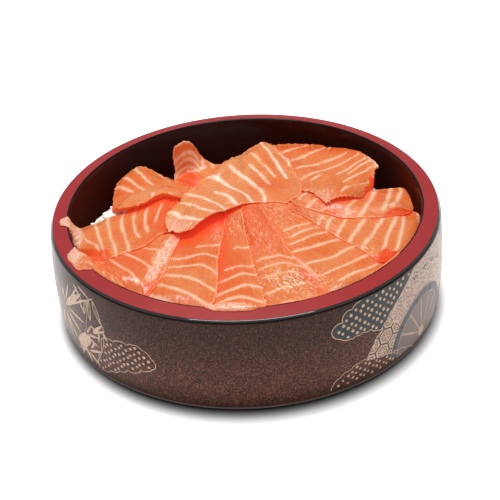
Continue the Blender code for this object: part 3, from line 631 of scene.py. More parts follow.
def pattern(turn, gold, dark, slate, pale, mist):
    """Both groups of the pattern, turned round the tub."""
    gold.turn = dark.turn = slate.turn = pale.turn = mist.turn = turn

    def dots(shape, x0, x1, z0, z1, dx, dz, r, lift=None, margin=1.5):
        for i, x in enumerate(np.arange(x0, x1, dx)):
            for j, z in enumerate(np.arange(z0, z1, dz)):
                q = (x + 0.5 * math.sin(2.3 * j + i), z + (dz / 2 if i % 2 else 0.0) + 0.4 * math.sin(4.0 * i + 1.7 * j))
                if inside(q, shape) and far_from(q, shape, margin):
                    gold.dot(q[0], q[1], r * (1 + 0.12 * math.sin(5 * i + 3 * j)), lift=lift)
    # left: dotted cloud
    o = lobes(CLOUD_LEFT, 0.16)
    gold.ribbon(o, 0.5, closed=True)
    dots(o, -112, -54, 2.5, 38, 3.0, 4.8, 0.95)
    # left: bamboo
    for x, z, a, length, w in LEAVES:
        gold.fill(leaf(x, z, a, length, 0.78 * w), pitch=2.0)
    for x, z, a, length, w in ((-108.7, 52.0, -88, 14.2, 3.0), (-104.8, 53.2, -64, 15.0, 3.4), (-110.8, 50.9, -107, 12.2, 2.4)):
        gold.ribbon(leaf(x, z, a, length, w), 0.6, closed=True)
        end = (x + length * math.cos(math.radians(a)), z + length * math.sin(math.radians(a)))
        gold.ribbon([(x, z), end], 0.4)
    gold.ribbon([(-118.4, 47.0), (-111.5, 50.2), (-104.4, 54.6)], 0.9)
    gold.ribbon([(-98.6, 41.4), (-96.4, 38.1), (-96.4, 32.3), (-97.7, 25.0), (-103.1, 13.7), (-110.0, 4.2)], 0.55)
    gold.ribbon([(-108.7, 52.0), (-111.5, 37.8), (-115.6, 23.7)], 0.45)
    gold.fill([(-127.6, 13.4), (-122.6, 19.9), (-116.4, 24.8), (-110.6, 24.4), (-111.4, 18.6), (-118.4, 11.6), (-126.1, 9.1)], pitch=2.5)
    # right: dotted cloud on a dark ground, under the rim
    o = np.array(lobes(CLOUD_UP[:9], 0.16, closed=False).tolist() + CLOUD_UP[9:13] + lobes(CLOUD_UP[13:] + CLOUD_UP[:1], 0.14, closed=False).tolist()[:-1])
    dark.fill(o, lift=0.05)
    gold.ribbon(np.vstack([lobes(CLOUD_UP[13:] + CLOUD_UP[:1], 0.14, closed=False), lobes(CLOUD_UP[:9], 0.16, closed=False)]), 0.5)
    dots(o, 44, 110, 33, 62, 2.95, 5.4, 1.02, margin=1.6)
    # right: the band, a fine mesh above and tortoise-shell hexagons below
    ring = [(HUB[0] + (WHEEL_R - 1) * math.cos(a), HUB[1] + (WHEEL_R - 1) * math.sin(a)) for a in np.radians(np.arange(24, 164, 7))]
    cut_a, cut_b = (85.3, 39.4), (95.5, 25.8)
    whole = np.array([cut_b, cut_a] + BAND_LEFT[3:] + [(126.0, 59.2), (152.0, 59.2), (170.0, 40.0), (166.0, 24.0)] + ring[:16])
    pale.fill(whole, lift=0.05)
    gold.ribbon(BAND_LEFT, 0.6)
    for i, x in enumerate(np.arange(84.0, 134.0, 2.75)):
        for z in np.arange(26.0, 59.0, 3.2):
            q = (x + 0.3 * math.sin(3.1 * z), z + (1.6 if i % 2 else 0.0) + 0.3 * math.sin(2.3 * i))
            if inside(q, whole) and far_from(q, whole, 1.2):
                dark.dot(q[0], q[1], 0.34, lift=0.10)
    gold.ribbon([cut_a, cut_b], 0.9)
    for q in ((112.0, 51.5), (124.0, 52.0), (136.0, 50.0), (146.0, 46.0)):
        dark.ribbon([(q[0] - 2.4, q[1] + 1.6), (q[0] - 0.6, q[1] - 1.4), (q[0] + 1.0, q[1] + 1.4), (q[0] + 2.6, q[1] - 1.2)], 0.5, lift=0.13)
    # hexagons: gold plates with a flower, dark seams between them
    kikko = np.array([BAND_LEFT[0], BAND_LEFT[1], BAND_LEFT[2], cut_a, cut_b, (89.4, 9.4)])
    dark.fill(kikko, lift=0.05)
    pitch = 10.4
    for i in range(-3, 4):
        for j in range(-3, 4):
            c = np.array((83.5, 25.8))
            for n, a in ((i, 75.0), (j, 15.0)):
                c = c + n * pitch * np.array((math.cos(math.radians(a)), math.sin(math.radians(a))))

            def six(k):
                return [c + k * pitch / math.sqrt(3) * np.array((math.cos(a), math.sin(a))) for a in np.radians(np.arange(45, 405, 60))]
            poly = clip(six(0.90), kikko)
            if len(poly) < 3:
                continue
            gold.fill(poly, lift=0.08)
            small = clip(six(0.60), kikko)
            if len(small) >= 3:
                dark.ribbon(small, 0.5, closed=True, lift=0.12)
            for a in np.radians(np.arange(0, 360, 60) + 15):
                q = c + 1.9 * np.array((math.cos(a), math.sin(a)))
                if inside(q, kikko):
                    dark.dot(q[0], q[1], 0.5, lift=0.12)
    # right: the wheel, cut off by the foot
    rr = WHEEL_R - WHEEL_W + 0.4
    mist.fill([(HUB[0] + rr * math.cos(a), max(-0.6, HUB[1] + rr * math.sin(a))) for a in np.radians(np.arange(-8, 189, 7))], lift=0.04)
    for k in range(5):
        a0, a1 = (184.0 if k == 0 else 178 - k * 37.0), 178 - k * 37.0 - 34.5
        arc = np.radians(np.linspace(a0, a1, 24))
        mid = WHEEL_R - WHEEL_W / 2
        pts = [(HUB[0] + mid * math.cos(a), HUB[1] + mid * math.sin(a)) for a in arc]
        pts = [q for q in pts if q[1] > 4.0]
        if len(pts) > 2:
            slate.ribbon(pts, WHEEL_W, lift=0.13)
            for off in (-WHEEL_W / 2, WHEEL_W / 2):
                edge = [(HUB[0] + (mid + off) * math.cos(a), HUB[1] + (mid + off) * math.sin(a)) for a in arc]
                edge = [q for q in edge if q[1] > 3.8]
                if len(edge) > 2:
                    gold.ribbon(edge, 0.35, lift=0.15)
    for a in range(12, 180, 28):
        c, s = math.cos(math.radians(a)), math.sin(math.radians(a))
        for sp in (-2.4, 2.4):
            c2, s2 = math.cos(math.radians(a + sp * 0.5)), math.sin(math.radians(a + sp * 0.5))
            gold.ribbon([(HUB[0] + 3.4 * c, HUB[1] + 3.4 * s), (HUB[0] + (WHEEL_R - WHEEL_W) * c2, HUB[1] + (WHEEL_R - WHEEL_W) * s2)], 0.45, lift=0.12)
    for k in range(9):
        gold.fill(leaf(HUB[0], HUB[1] + 0.8, 40 * k, 4.4, 1.9), lift=0.12, pitch=2.0)
    # right: dotted cloud along the foot
    o = np.array(lobes(CLOUD_LOW, 0.16, closed=False).tolist())
    gold.ribbon(o, 0.5, lift=0.14)
    dots(o, 44, 112, -0.6, 18, 2.95, 4.8, 0.92, lift=0.14, margin=1.3)


def clip(poly, keep):
    """A convex polygon cut to a convex one (Sutherland and Hodgman)."""
    k = [np.array(q, float) for q in keep]
    area = sum(a[0] * b[1] - b[0] * a[1] for a, b in zip(k, k[1:] + k[:1]))
    if area < 0:
        k = k[::-1]
    out = [np.array(q, float) for q in poly]
    for a, b in zip(k, k[1:] + k[:1]):
        src, out = out, []
        side = lambda q: (b[0] - a[0]) * (q[1] - a[1]) - (b[1] - a[1]) * (q[0] - a[0])
        for p, q in zip(src, src[1:] + src[:1]):
            sp, sq = side(p), side(q)
            if sp >= 0:
                out.append(p)
            if (sp >= 0) != (sq >= 0):
                out.append(p + (q - p) * sp / (sp - sq))
        if not out:
            break
    return out


# --------------------------------------------------------------------- rice
RICE_TOP_Z, RICE_EDGE_Z = 53.0, 43.0


def rice_outline(a):
    every = (99.0, 94.0, 89.0, 86.0, 79.0, 92.0, 105.0, 106.0, 106.0, 106.0, 106.0, 104.0)
    n = len(every)
    s = np.mod(a / math.tau * n, n)
    i = np.floor(s).astype(int)
    f = s - i
    v = np.array(every)
    p0, p1, p2, p3 = (v[(i + k) % n] for k in (-1, 0, 1, 2))
    r = p1 + 0.5 * f * (p2 - p0 + f * (2 * p0 - 5 * p1 + 4 * p2 - p3 + f * (3 * (p1 - p2) + p3 - p0)))
    r = r + 0.8 * np.sin(7 * a + 2.0) + 0.6 * np.sin(11 * a - 1.1)
    return np.minimum(r, 106.5)


def rice_height(x, y):
    r = np.hypot(x, y)
    a = np.arctan2(y, x)
    edge = rice_outline(a)
    q = np.clip(r / edge, 0.0, 1.0)
    top = RICE_TOP_Z + 1.2 * np.cos(math.pi * q) + 3.2 * smoothstep((-y - 20.0) / 80.0)
    top = top + 9.5 * np.exp(-(((x + 98.0) / 10.0) ** 2 + ((y - 20.0) / 9.0) ** 2))
    top = top + 2.0 * np.exp(-(((x - 84.0) / 12.0) ** 2 + ((y - 24.0) / 12.0) ** 2))
    top = top + 0.5 * np.sin(x / 7.3 + 1.0) * np.cos(y / 6.1) + 0.35 * np.sin((x + y) / 4.3)
    front = smoothstep((20.0 - y) / 70.0)
    shoulder = smoothstep((1.0 - q) / (0.17 - 0.12 * front))
    drop = RICE_EDGE_Z + 8.0 * front
    return drop + (top - drop) * shoulder


def bed_level(x, y):
    return RICE_TOP_Z - 1.6 + 3.2 * smoothstep((-y - 20.0) / 80.0)


def rice_core():
    """The heap, a grain's thickness smaller, with relief finer than a grain."""
    na = 300
    rings = np.concatenate([np.linspace(0.02, 0.86, 26), np.linspace(0.88, 0.97, 8)])
    a = np.arange(na) / na * math.tau
    rng = np.random.default_rng(3)
    k1, k2, ph = rng.uniform(0.8, 1.9, 24), rng.uniform(-1.9, 1.9, 24), rng.uniform(0, 6.28, 24)

    def relief(x, y):
        return sum(np.sin(k1[i] * x + k2[i] * y + ph[i]) for i in range(24)) / 24 * 1.1
    v = []
    for q in rings:
        r = rice_outline(a) * q
        x, y = r * np.cos(a), r * np.sin(a)
        v.append(np.stack([x, y, rice_height(x / 0.975, y / 0.975) - 1.9 + relief(x, y)], -1))
    for k, z in ((0.972, 39.0), (0.975, 34.0), (0.972, 29.0), (0.96, 24.5), (0.93, FLOOR_Z + 0.3)):
        r = rice_outline(a) * k
        r = np.minimum(r, 104.0)
        x, y = r * np.cos(a), r * np.sin(a)
        bump = 0.6 * np.sin(9 * a + z) + 0.5 * np.sin(31 * a + 2 * z)
        v.append(np.stack([x + bump * np.cos(a), y + bump * np.sin(a), np.full(na, z)], -1))
    n = len(v)
    v = np.vstack([np.vstack(v), [[0, 0, float(rice_height(np.array(0.0), np.array(0.0))) - 1.9], [0, 0, FLOOR_Z + 0.3]]])
    f = []
    for i in range(n - 1):
        for j in range(na):
            k = (j + 1) % na
            f.append((i * na + j, (i + 1) * na + j, (i + 1) * na + k, i * na + k))
    for j in range(na):
        k = (j + 1) % na
        f.append((n * na, j, k))
        f.append((n * na + 1, (n - 1) * na + k, (n - 1) * na + j))
    ob = mesh_object("rice_core", v, f, [MAT_CORE])
    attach(ob, "root")
    return ob


def grain_shape():
    """One cooked grain: plump, slightly bent, blunt at both ends."""
    nu, nv = ((8, 8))
    v, f = [], []
    for i in range(1, nu):
        t = math.pi * i / nu
        x = -math.cos(t)
        w = math.sin(t) ** 0.75
        for j in range(nv):
            a = math.tau * j / nv
            v.append((3.3 * x, 1.42 * w * math.cos(a) + 0.28 * (1 - x * x), 1.2 * w * math.sin(a)))
    v += [(-3.3, 0.0, 0.0), (3.3, 0.0, 0.0)]
    n = nu - 1
    for i in range(n - 1):
        for j in range(nv):
            k = (j + 1) % nv
            f.append((i * nv + j, i * nv + k, (i + 1) * nv + k, (i + 1) * nv + j))
    for j in range(nv):
        k = (j + 1) % nv
        f.append((n * nv, k, j))
        f.append((n * nv + 1, (n - 1) * nv + j, (n - 1) * nv + k))
    return np.array(v), f


# ------------------------------------------------------------------- salmon
GAP = 0.05
DRAPE = 3.6


def through(vals, u):
    v = np.asarray(vals, float)
    n = len(v) - 1
    if n == 2:
        return v[0] * (2 * u - 1) * (u - 1) + v[1] * 4 * u * (1 - u) + v[2] * u * (2 * u - 1)
    m = np.gradient(v)
    s = np.clip(u * n, 0, n - 1e-9)
    i = s.astype(int)
    f = s - i
    h00, h10 = 2 * f**3 - 3 * f**2 + 1, f**3 - 2 * f**2 + f
    h01, h11 = -2 * f**3 + 3 * f**2, f**3 - f**2
    return h00 * v[i] + h10 * m[i] + h01 * v[i + 1] + h11 * m[i + 1]


def plan(s, u, v):
    """Plan position of a point of the slice, before any curl."""
    sec = np.array(s["sec"], float)
    length = np.hypot(*(sec[1:, :2] - sec[:-1, :2]).T).sum()
    mean_w = sec[:, 2].mean()
    kl, kw = s["corner"][0] / (length / 2), s["corner"][1] / (mean_w / 2)
    tight = math.sqrt(0.6 * (1 - kl) * (1 - kw) / (16 * kl * kw))
    kl, kw = kl * min(1.0, tight), kw * min(1.0, tight)
    p, q = 2 * u - 1, 2 * v - 1
    p2 = p * (1 - kl * q**4)
    q2 = q * (1 - kw * p**4)
    k = s["seed"]
    q2 = q2 + (0.9 / mean_w) * np.sign(q) * np.abs(q) ** 3 * (
        np.sin(5.1 * u + k + 1.3 * np.sign(q)) + 0.6 * np.sin(11.7 * u + 2.1 * k))
    p2 = p2 + (1.2 / length) * np.sign(p) * np.abs(p) ** 5 * (
        np.sin(6.3 * v + 1.7 * k) + 0.7 * np.sin(14.1 * v + k))
    # flaps and nicks of the outline
    for edge, start, stop, more, soft in s.get("pull", ()):
        along = v if edge[0] == "u" else u
        part = smoothstep((along - start) / soft + 0.5) * smoothstep((stop - along) / soft + 0.5)
        if edge[0] == "u":
            sgn = 1 if edge == "u1" else -1
            p2 = p2 + sgn * 2 * more / length * part * np.clip(sgn * p, 0, 1) ** 3
        else:
            sgn = 1 if edge == "v1" else -1
            q2 = q2 + sgn * 2 * more / mean_w * part * np.clip(sgn * q, 0, 1) ** 3
    rough = s.get("rough", 1.0)
    # small notches along the cut
    q2 = q2 + (0.28 * rough / mean_w) * np.sign(q) * np.abs(q) ** 6 * (
        np.sin(length * u / 0.9 + 5 * k + np.sign(q)) + np.sin(length * u / 0.61 + 3 * k))
    p2 = p2 + (0.45 * rough / length) * np.sign(p) * np.abs(p) ** 9 * (
        np.sin(mean_w * v / 0.8 + 3 * k + np.sign(p)) + np.sin(mean_w * v / 0.55 + k))
    u2, v2 = (p2 + 1) / 2, (q2 + 1) / 2
    cx, cy = through(sec[:, 0], u2), through(sec[:, 1], u2)
    w, a = through(sec[:, 2], u2), np.radians(through(sec[:, 3], u2))
    x = cx + (v2 - 0.5) * w * np.cos(a)
    y = cy + (v2 - 0.5) * w * np.sin(a)
    r = np.maximum(np.hypot(x, y), 1e-6)
    d = s.get("ease", 4.0)
    wall = s["wall"] + sum(more * smoothstep((v - start) / 0.16 + 0.5) * smoothstep((stop - v) / 0.16 + 0.5)
                           for more, start, stop in s.get("lap", ()))
    over = np.maximum(r - (wall - d), 0.0)
    held = np.where(over > 0, wall - d + d * (1 - np.exp(-over / d)), r)
    return x * held / r, y * held / r, np.cos(a), np.sin(a), w


def curl(s, u, v, x, y, ca, sa, w):
    c = s.get("curl")
    if not c:
        return x, y, np.zeros_like(x)
    e = v if c["side"] else 1 - v
    d = np.maximum(0.0, e - 1 + through(c["share"], u)) * w
    ang = np.radians(np.maximum(through(c["angle"], u), 0.01))
    r = c["radius"]
    arc = np.minimum(d / r, ang)
    rest = d - arc * r
    run = r * np.sin(arc) + rest * np.cos(arc)
    rise = r * (1 - np.cos(arc)) + rest * np.sin(arc)
    sgn = 1 if c["side"] else -1
    return x + sgn * (run - d) * ca, y + sgn * (run - d) * sa, rise


def filt(a, hu, hv, what):
    """Greatest or mean value over a window, one axis after the other."""
    p = np.pad(a, ((hu, hu), (0, 0)), mode="edge")
    a = what(np.array([p[i:i + a.shape[0]] for i in range(2 * hu + 1)]), axis=0)
    p = np.pad(a, ((0, 0), (hv, hv)), mode="edge")
    return what(np.array([p[:, j:j + a.shape[1]] for j in range(2 * hv + 1)]), axis=0)


def bilinear(grid, u, v):
    fu, fv = grid.shape[0] - 1, grid.shape[1] - 1
    a, b = np.clip(u * fu, 0, fu - 1e-9), np.clip(v * fv, 0, fv - 1e-9)
    i, j = a.astype(int), b.astype(int)
    p, q = a - i, b - j
    return ((1 - p) * (1 - q) * grid[i, j] + p * (1 - q) * grid[i + 1, j]
            + (1 - p) * q * grid[i, j + 1] + p * q * grid[i + 1, j + 1])


class Stack:
    """What has been laid down so far."""

    def __init__(self):
        self.verts, self.faces = [], []
        self.tree = None

    def add(self, verts, faces):
        base = len(self.verts)
        self.verts += [Vector(p) for p in np.asarray(verts).tolist()]
        self.faces += [tuple(base + int(i) for i in f) for f in faces]
        self.tree = BVHTree.FromPolygons(self.verts, self.faces)

    def height(self, x, y):
        out = bed_level(x, y)
        down = Vector((0, 0, -1))
        cast = self.tree.ray_cast
        for i in np.ndindex(x.shape):
            hit = cast(Vector((x[i], y[i], 500.0)), down)
            if hit[0] is not None and hit[0].z > out[i]:
                out[i] = hit[0].z
        return out


def edge_rows(n, length, close):
    """n + 1 values from 0 to 1 with rows close to both ends."""
    near = np.array(close) / length
    inner = np.linspace(near[-1], 1 - near[-1], n + 1 - 2 * (len(near) - 1))
    return np.concatenate([near[:-1], inner, 1 - near[:-1][::-1]])


CLOSE = (0.0, 0.12, 0.35, 0.75, 1.3, 2.1, 3.2)


def slice_shape(s, support):
    """Vertices, faces and attributes of one slice."""
    sec = np.array(s["sec"], float)
    length = np.hypot(*(sec[1:, :2] - sec[:-1, :2]).T).sum()
    width = sec[:, 2].mean()
    fu, fv = ((96, 64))
    u, v = np.meshgrid(np.linspace(0, 1, fu + 1), np.linspace(0, 1, fv + 1), indexing="ij")
    x0, y0, ca, sa, w = plan(s, u, v)
    x, y, rise = curl(s, u, v, x0, y0, ca, sa, w)
    h = support(x, y)
    hu = max(1, int(round(DRAPE / (length / fu))))
    hv = max(1, int(round(DRAPE / (width / fv))))
    stiff = filt(filt(h, hu, hv, np.max), hu, hv, np.mean)
    stiff = filt(stiff, 1, 1, np.mean)
    close = filt(filt(h, 1, 1, np.max), 1, 1, np.mean)
    du, dv = np.minimum(u, 1 - u) * length, np.minimum(v, 1 - v) * w
    d = np.minimum(du, dv)
    if not s.get("raised"):
        blend = smoothstep(d / 10.0) * 0.8
        stiff = np.maximum(close, close + (stiff - close) * blend)
        stiff = filt(filt(stiff, 1, 1, np.mean), 1, 1, np.mean)
    z = stiff + GAP
    for rise_mm, u0, su, v0, sv in s.get("lift", ()):
        z = z + rise_mm * np.exp(-((u - u0) / su) ** 2 - ((v - v0) / sv) ** 2)
    k = s["seed"]
    swell = 0.35 * np.sin(u * length / 7.0 + k) * np.sin(v * width / 6.0 + 2 * k) + 0.25 * np.sin(u * length / 3.9 + 3 * k + v * 4)
    z = z + rise + swell * smoothstep(d / 5.0)
    z = np.maximum(z, h + 0.03)
    # a finer grid with rows close to the edges
    nu, nv = ((max(40, int(length / 0.85)), max(34, int(width / 0.85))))
    gu, gv = np.meshgrid(edge_rows(nu, length, CLOSE), edge_rows(nv, width, CLOSE), indexing="ij")
    nu, nv = gu.shape[0] - 1, gu.shape[1] - 1
    low = np.stack([bilinear(g, gu, gv) for g in (x, y, z)], -1)
    x1, y1, ca1, sa1, w1 = plan(s, gu, gv)
    x1, y1, _ = curl(s, gu, gv, x1, y1, ca1, sa1, w1)
    low[..., 0], low[..., 1] = x1, y1
    n = np.cross(np.gradient(low, axis=0), np.gradient(low, axis=1))
    for c in range(3):
        n[..., c] = filt(n[..., c], 1, 1, np.mean)
    n /= np.maximum(np.linalg.norm(n, axis=-1, keepdims=True), 1e-12)
    if n[..., 2].mean() < 0:
        n = -n
    dist = np.minimum(np.minimum(gu, 1 - gu) * length, np.minimum(gv, 1 - gv) * width)
    if "curl" not in s:
        outer = 0.35 + 0.65 * smoothstep(dist / 2.0)
        n[..., :2] *= outer[..., None]
        n[..., 2] = np.maximum(n[..., 2], 0.5)
        n /= np.linalg.norm(n, axis=-1, keepdims=True)
    # thickness: thinner towards the border, crisp at the cut
    rho = 0.75
    t = np.clip(dist / rho, 0, 1)
    round_ = 0.5 + 0.5 * np.sqrt(np.maximum(0.0, 1 - (1 - t) ** 2))
    body = s["t"] * (1 + 0.06 * np.sin(9 * gu + k) + 0.05 * np.sin(7 * gv + 2 * k))
    rim = s.get("rim", 0.20)
    body = body * (rim + (1 - rim) * smoothstep(dist / 12.0))
    cut = np.zeros(gu.shape)
    for edge, start, stop, wide, *strong in s.get("bevels", ()):
        away = {"u0": gu * length, "u1": (1 - gu) * length, "v0": gv * width, "v1": (1 - gv) * width}[edge]
        along = gv if edge[0] == "u" else gu
        part = smoothstep((along - start) / 0.08 + 0.5) * smoothstep((stop - along) / 0.08 + 0.5)
        wide = wide * part * (1 + 0.15 * np.sin(17 * along + k))
        cut = np.maximum(cut, smoothstep((wide - away) / 1.1 + 0.5) * part * (strong[0] if strong else 1.0))
        body = body * (1 - 0.55 * part * np.clip(1 - away / np.maximum(wide, 0.5), 0, 1))
    # painted shade: a patch of the cut's deep orange where a fold lies in shadow
    for amount, u0, su, v0, sv in s.get("painted_shade_patch", ()):
        cut = np.maximum(cut, amount * np.exp(-((gu - u0) / su) ** 2 - ((gv - v0) / sv) ** 2))
    for amount, u0, su, v0, sv in s.get("thin", ()):
        body = body * (1 - amount * np.exp(-((gu - u0) / su) ** 2 - ((gv - v0) / sv) ** 2))
    # shallow grooves along the fat lines
    ph, gap, lw = phase(s, gu, gv, length if not s.get("swap") else width)
    groove = -0.10 * np.exp(-((np.abs(ph - np.round(ph)) * gap) / 0.7) ** 2) * (lw > 0.2)
    top = low + ((body * round_ + groove * smoothstep(dist / 3.0)))[..., None] * n
    verts = np.vstack([low.reshape(-1, 3), top.reshape(-1, 3)])
    m = (nu + 1) * (nv + 1)
    ids = np.arange(m).reshape(nu + 1, nv + 1)
    a, b, c, e = ids[:-1, :-1].ravel(), ids[1:, :-1].ravel(), ids[1:, 1:].ravel(), ids[:-1, 1:].ravel()
    mid = (nu // 2, nv // 2)
    up = np.cross(top[mid[0] + 1, mid[1]] - top[mid], top[mid[0], mid[1] + 1] - top[mid])[2] > 0
    top_f = np.stack([a, b, c, e], 1) + m
    low_f = np.stack([a, e, c, b], 1)
    ring = np.concatenate([ids[:, 0], ids[-1, 1:], ids[-2::-1, -1], ids[0, -2:0:-1]])
    nxt = np.roll(ring, -1)
    side_f = np.stack([ring, nxt, nxt + m, ring + m], 1)
    if not up:
        top_f, low_f, side_f = top_f[:, ::-1], low_f[:, ::-1], side_f[:, ::-1]
    faces = np.vstack([top_f, low_f, side_f]).tolist()
    um, vm = gu * length, gv * width
    sidemask = np.clip(1 - dist / 0.5, 0, 1)
    # painted red shade: each red patch reddens the flesh where another slice overlaps or shades it, partly redder
    # flesh; a negative amount paints light
    tone_and_red_shade = np.full(gu.shape, s.get("tone_and_red_shade", 0.0))
    for amount, u0, su, v0, sv in s.get("red", ()):
        tone_and_red_shade = tone_and_red_shade + amount * np.exp(-((gu - u0) / su) ** 2 - ((gv - v0) / sv) ** 2)
    fat = np.zeros(gu.shape)
    spk = np.zeros(gu.shape)
    for amount, u0, su, v0, sv in s.get("spark", ()):
        spk = np.maximum(spk, amount * np.exp(-((gu - u0) / su) ** 2 - ((gv - v0) / sv) ** 2))
    for amount, u0, su, v0, sv in s.get("pale", ()):
        fat = np.maximum(fat, amount * np.exp(-(np.abs((gu - u0) / su) ** 3) - np.abs((gv - v0) / sv) ** 3))
    def both(g, lo=None):
        return np.concatenate([(g if lo is None else lo).ravel(), g.ravel()])

    attrs = dict(s=both(ph), gap=both(gap), lw=both(lw), cut=both(cut, np.maximum(cut, s.get("under", 0.4))), spk=both(spk, spk * 0), edge=both(dist, dist * 0 + 5), um=both(um), vm=both(vm), tone_and_red_shade=both(tone_and_red_shade), fat=both(fat, fat * 0.5),
                 side=both(sidemask, 0.25 + 0.45 * np.clip(1 - dist / 1.5, 0, 1)), seed=np.full(2 * m, s["seed"] * 7.0))
    return verts, faces, attrs, (gu, gv, top)


def phase(s, u, v, length):
    """Counts the fat lines along the slice: whole numbers lie on a line.
    Also the distance between two lines and half the width of the nearest
    one, both in mm."""
    if s.get("swap"):
        u, v = v, u
    rows = np.array(LINES[s["name"]], float)
    n = len(rows)
    pos = np.array([np.polyval(np.polyfit(np.linspace(0, 1, 5), r[:5], 3), np.clip(v, 0, 1)) for r in rows])
    for k in range(1, n):
        pos[k] = np.maximum(pos[k], pos[k - 1] + 0.025)
    # lines before and after the table keep its spacing
    first, last = pos[1] - pos[0], pos[-1] - pos[-2]
    lead = [pos[0] - k * np.maximum(first, 0.05) for k in (3, 2, 1)]
    tail = [pos[-1] + k * np.maximum(last, 0.05) for k in (1, 2, 3)]
    pos = np.array(lead + list(pos) + tail)
    k = np.clip((pos <= u).sum(0), 1, len(pos) - 1)
    lo = np.take_along_axis(pos, (k - 1)[None], 0)[0]
    hi = np.take_along_axis(pos, k[None], 0)[0]
    ph = k - 1 + (u - lo) / (hi - lo) - 3
    gap = np.clip(filt((hi - lo) * length, 2, 2, np.mean), 2.0, 16.0)
    near = np.round(ph).astype(int)
    real = (near >= 0) & (near < n)
    near = np.clip(near, 0, n - 1)
    start, stop = rows[near, 6], rows[near, 7]
    fade = np.where(start > 0, smoothstep((v - start) / 0.10 + 0.5), 1.0) * np.where(stop < 1, smoothstep((stop - v) / 0.10 + 0.5), 1.0)
    return ph, gap, np.where(real, rows[near, 5] / 2 * fade, 0.0)


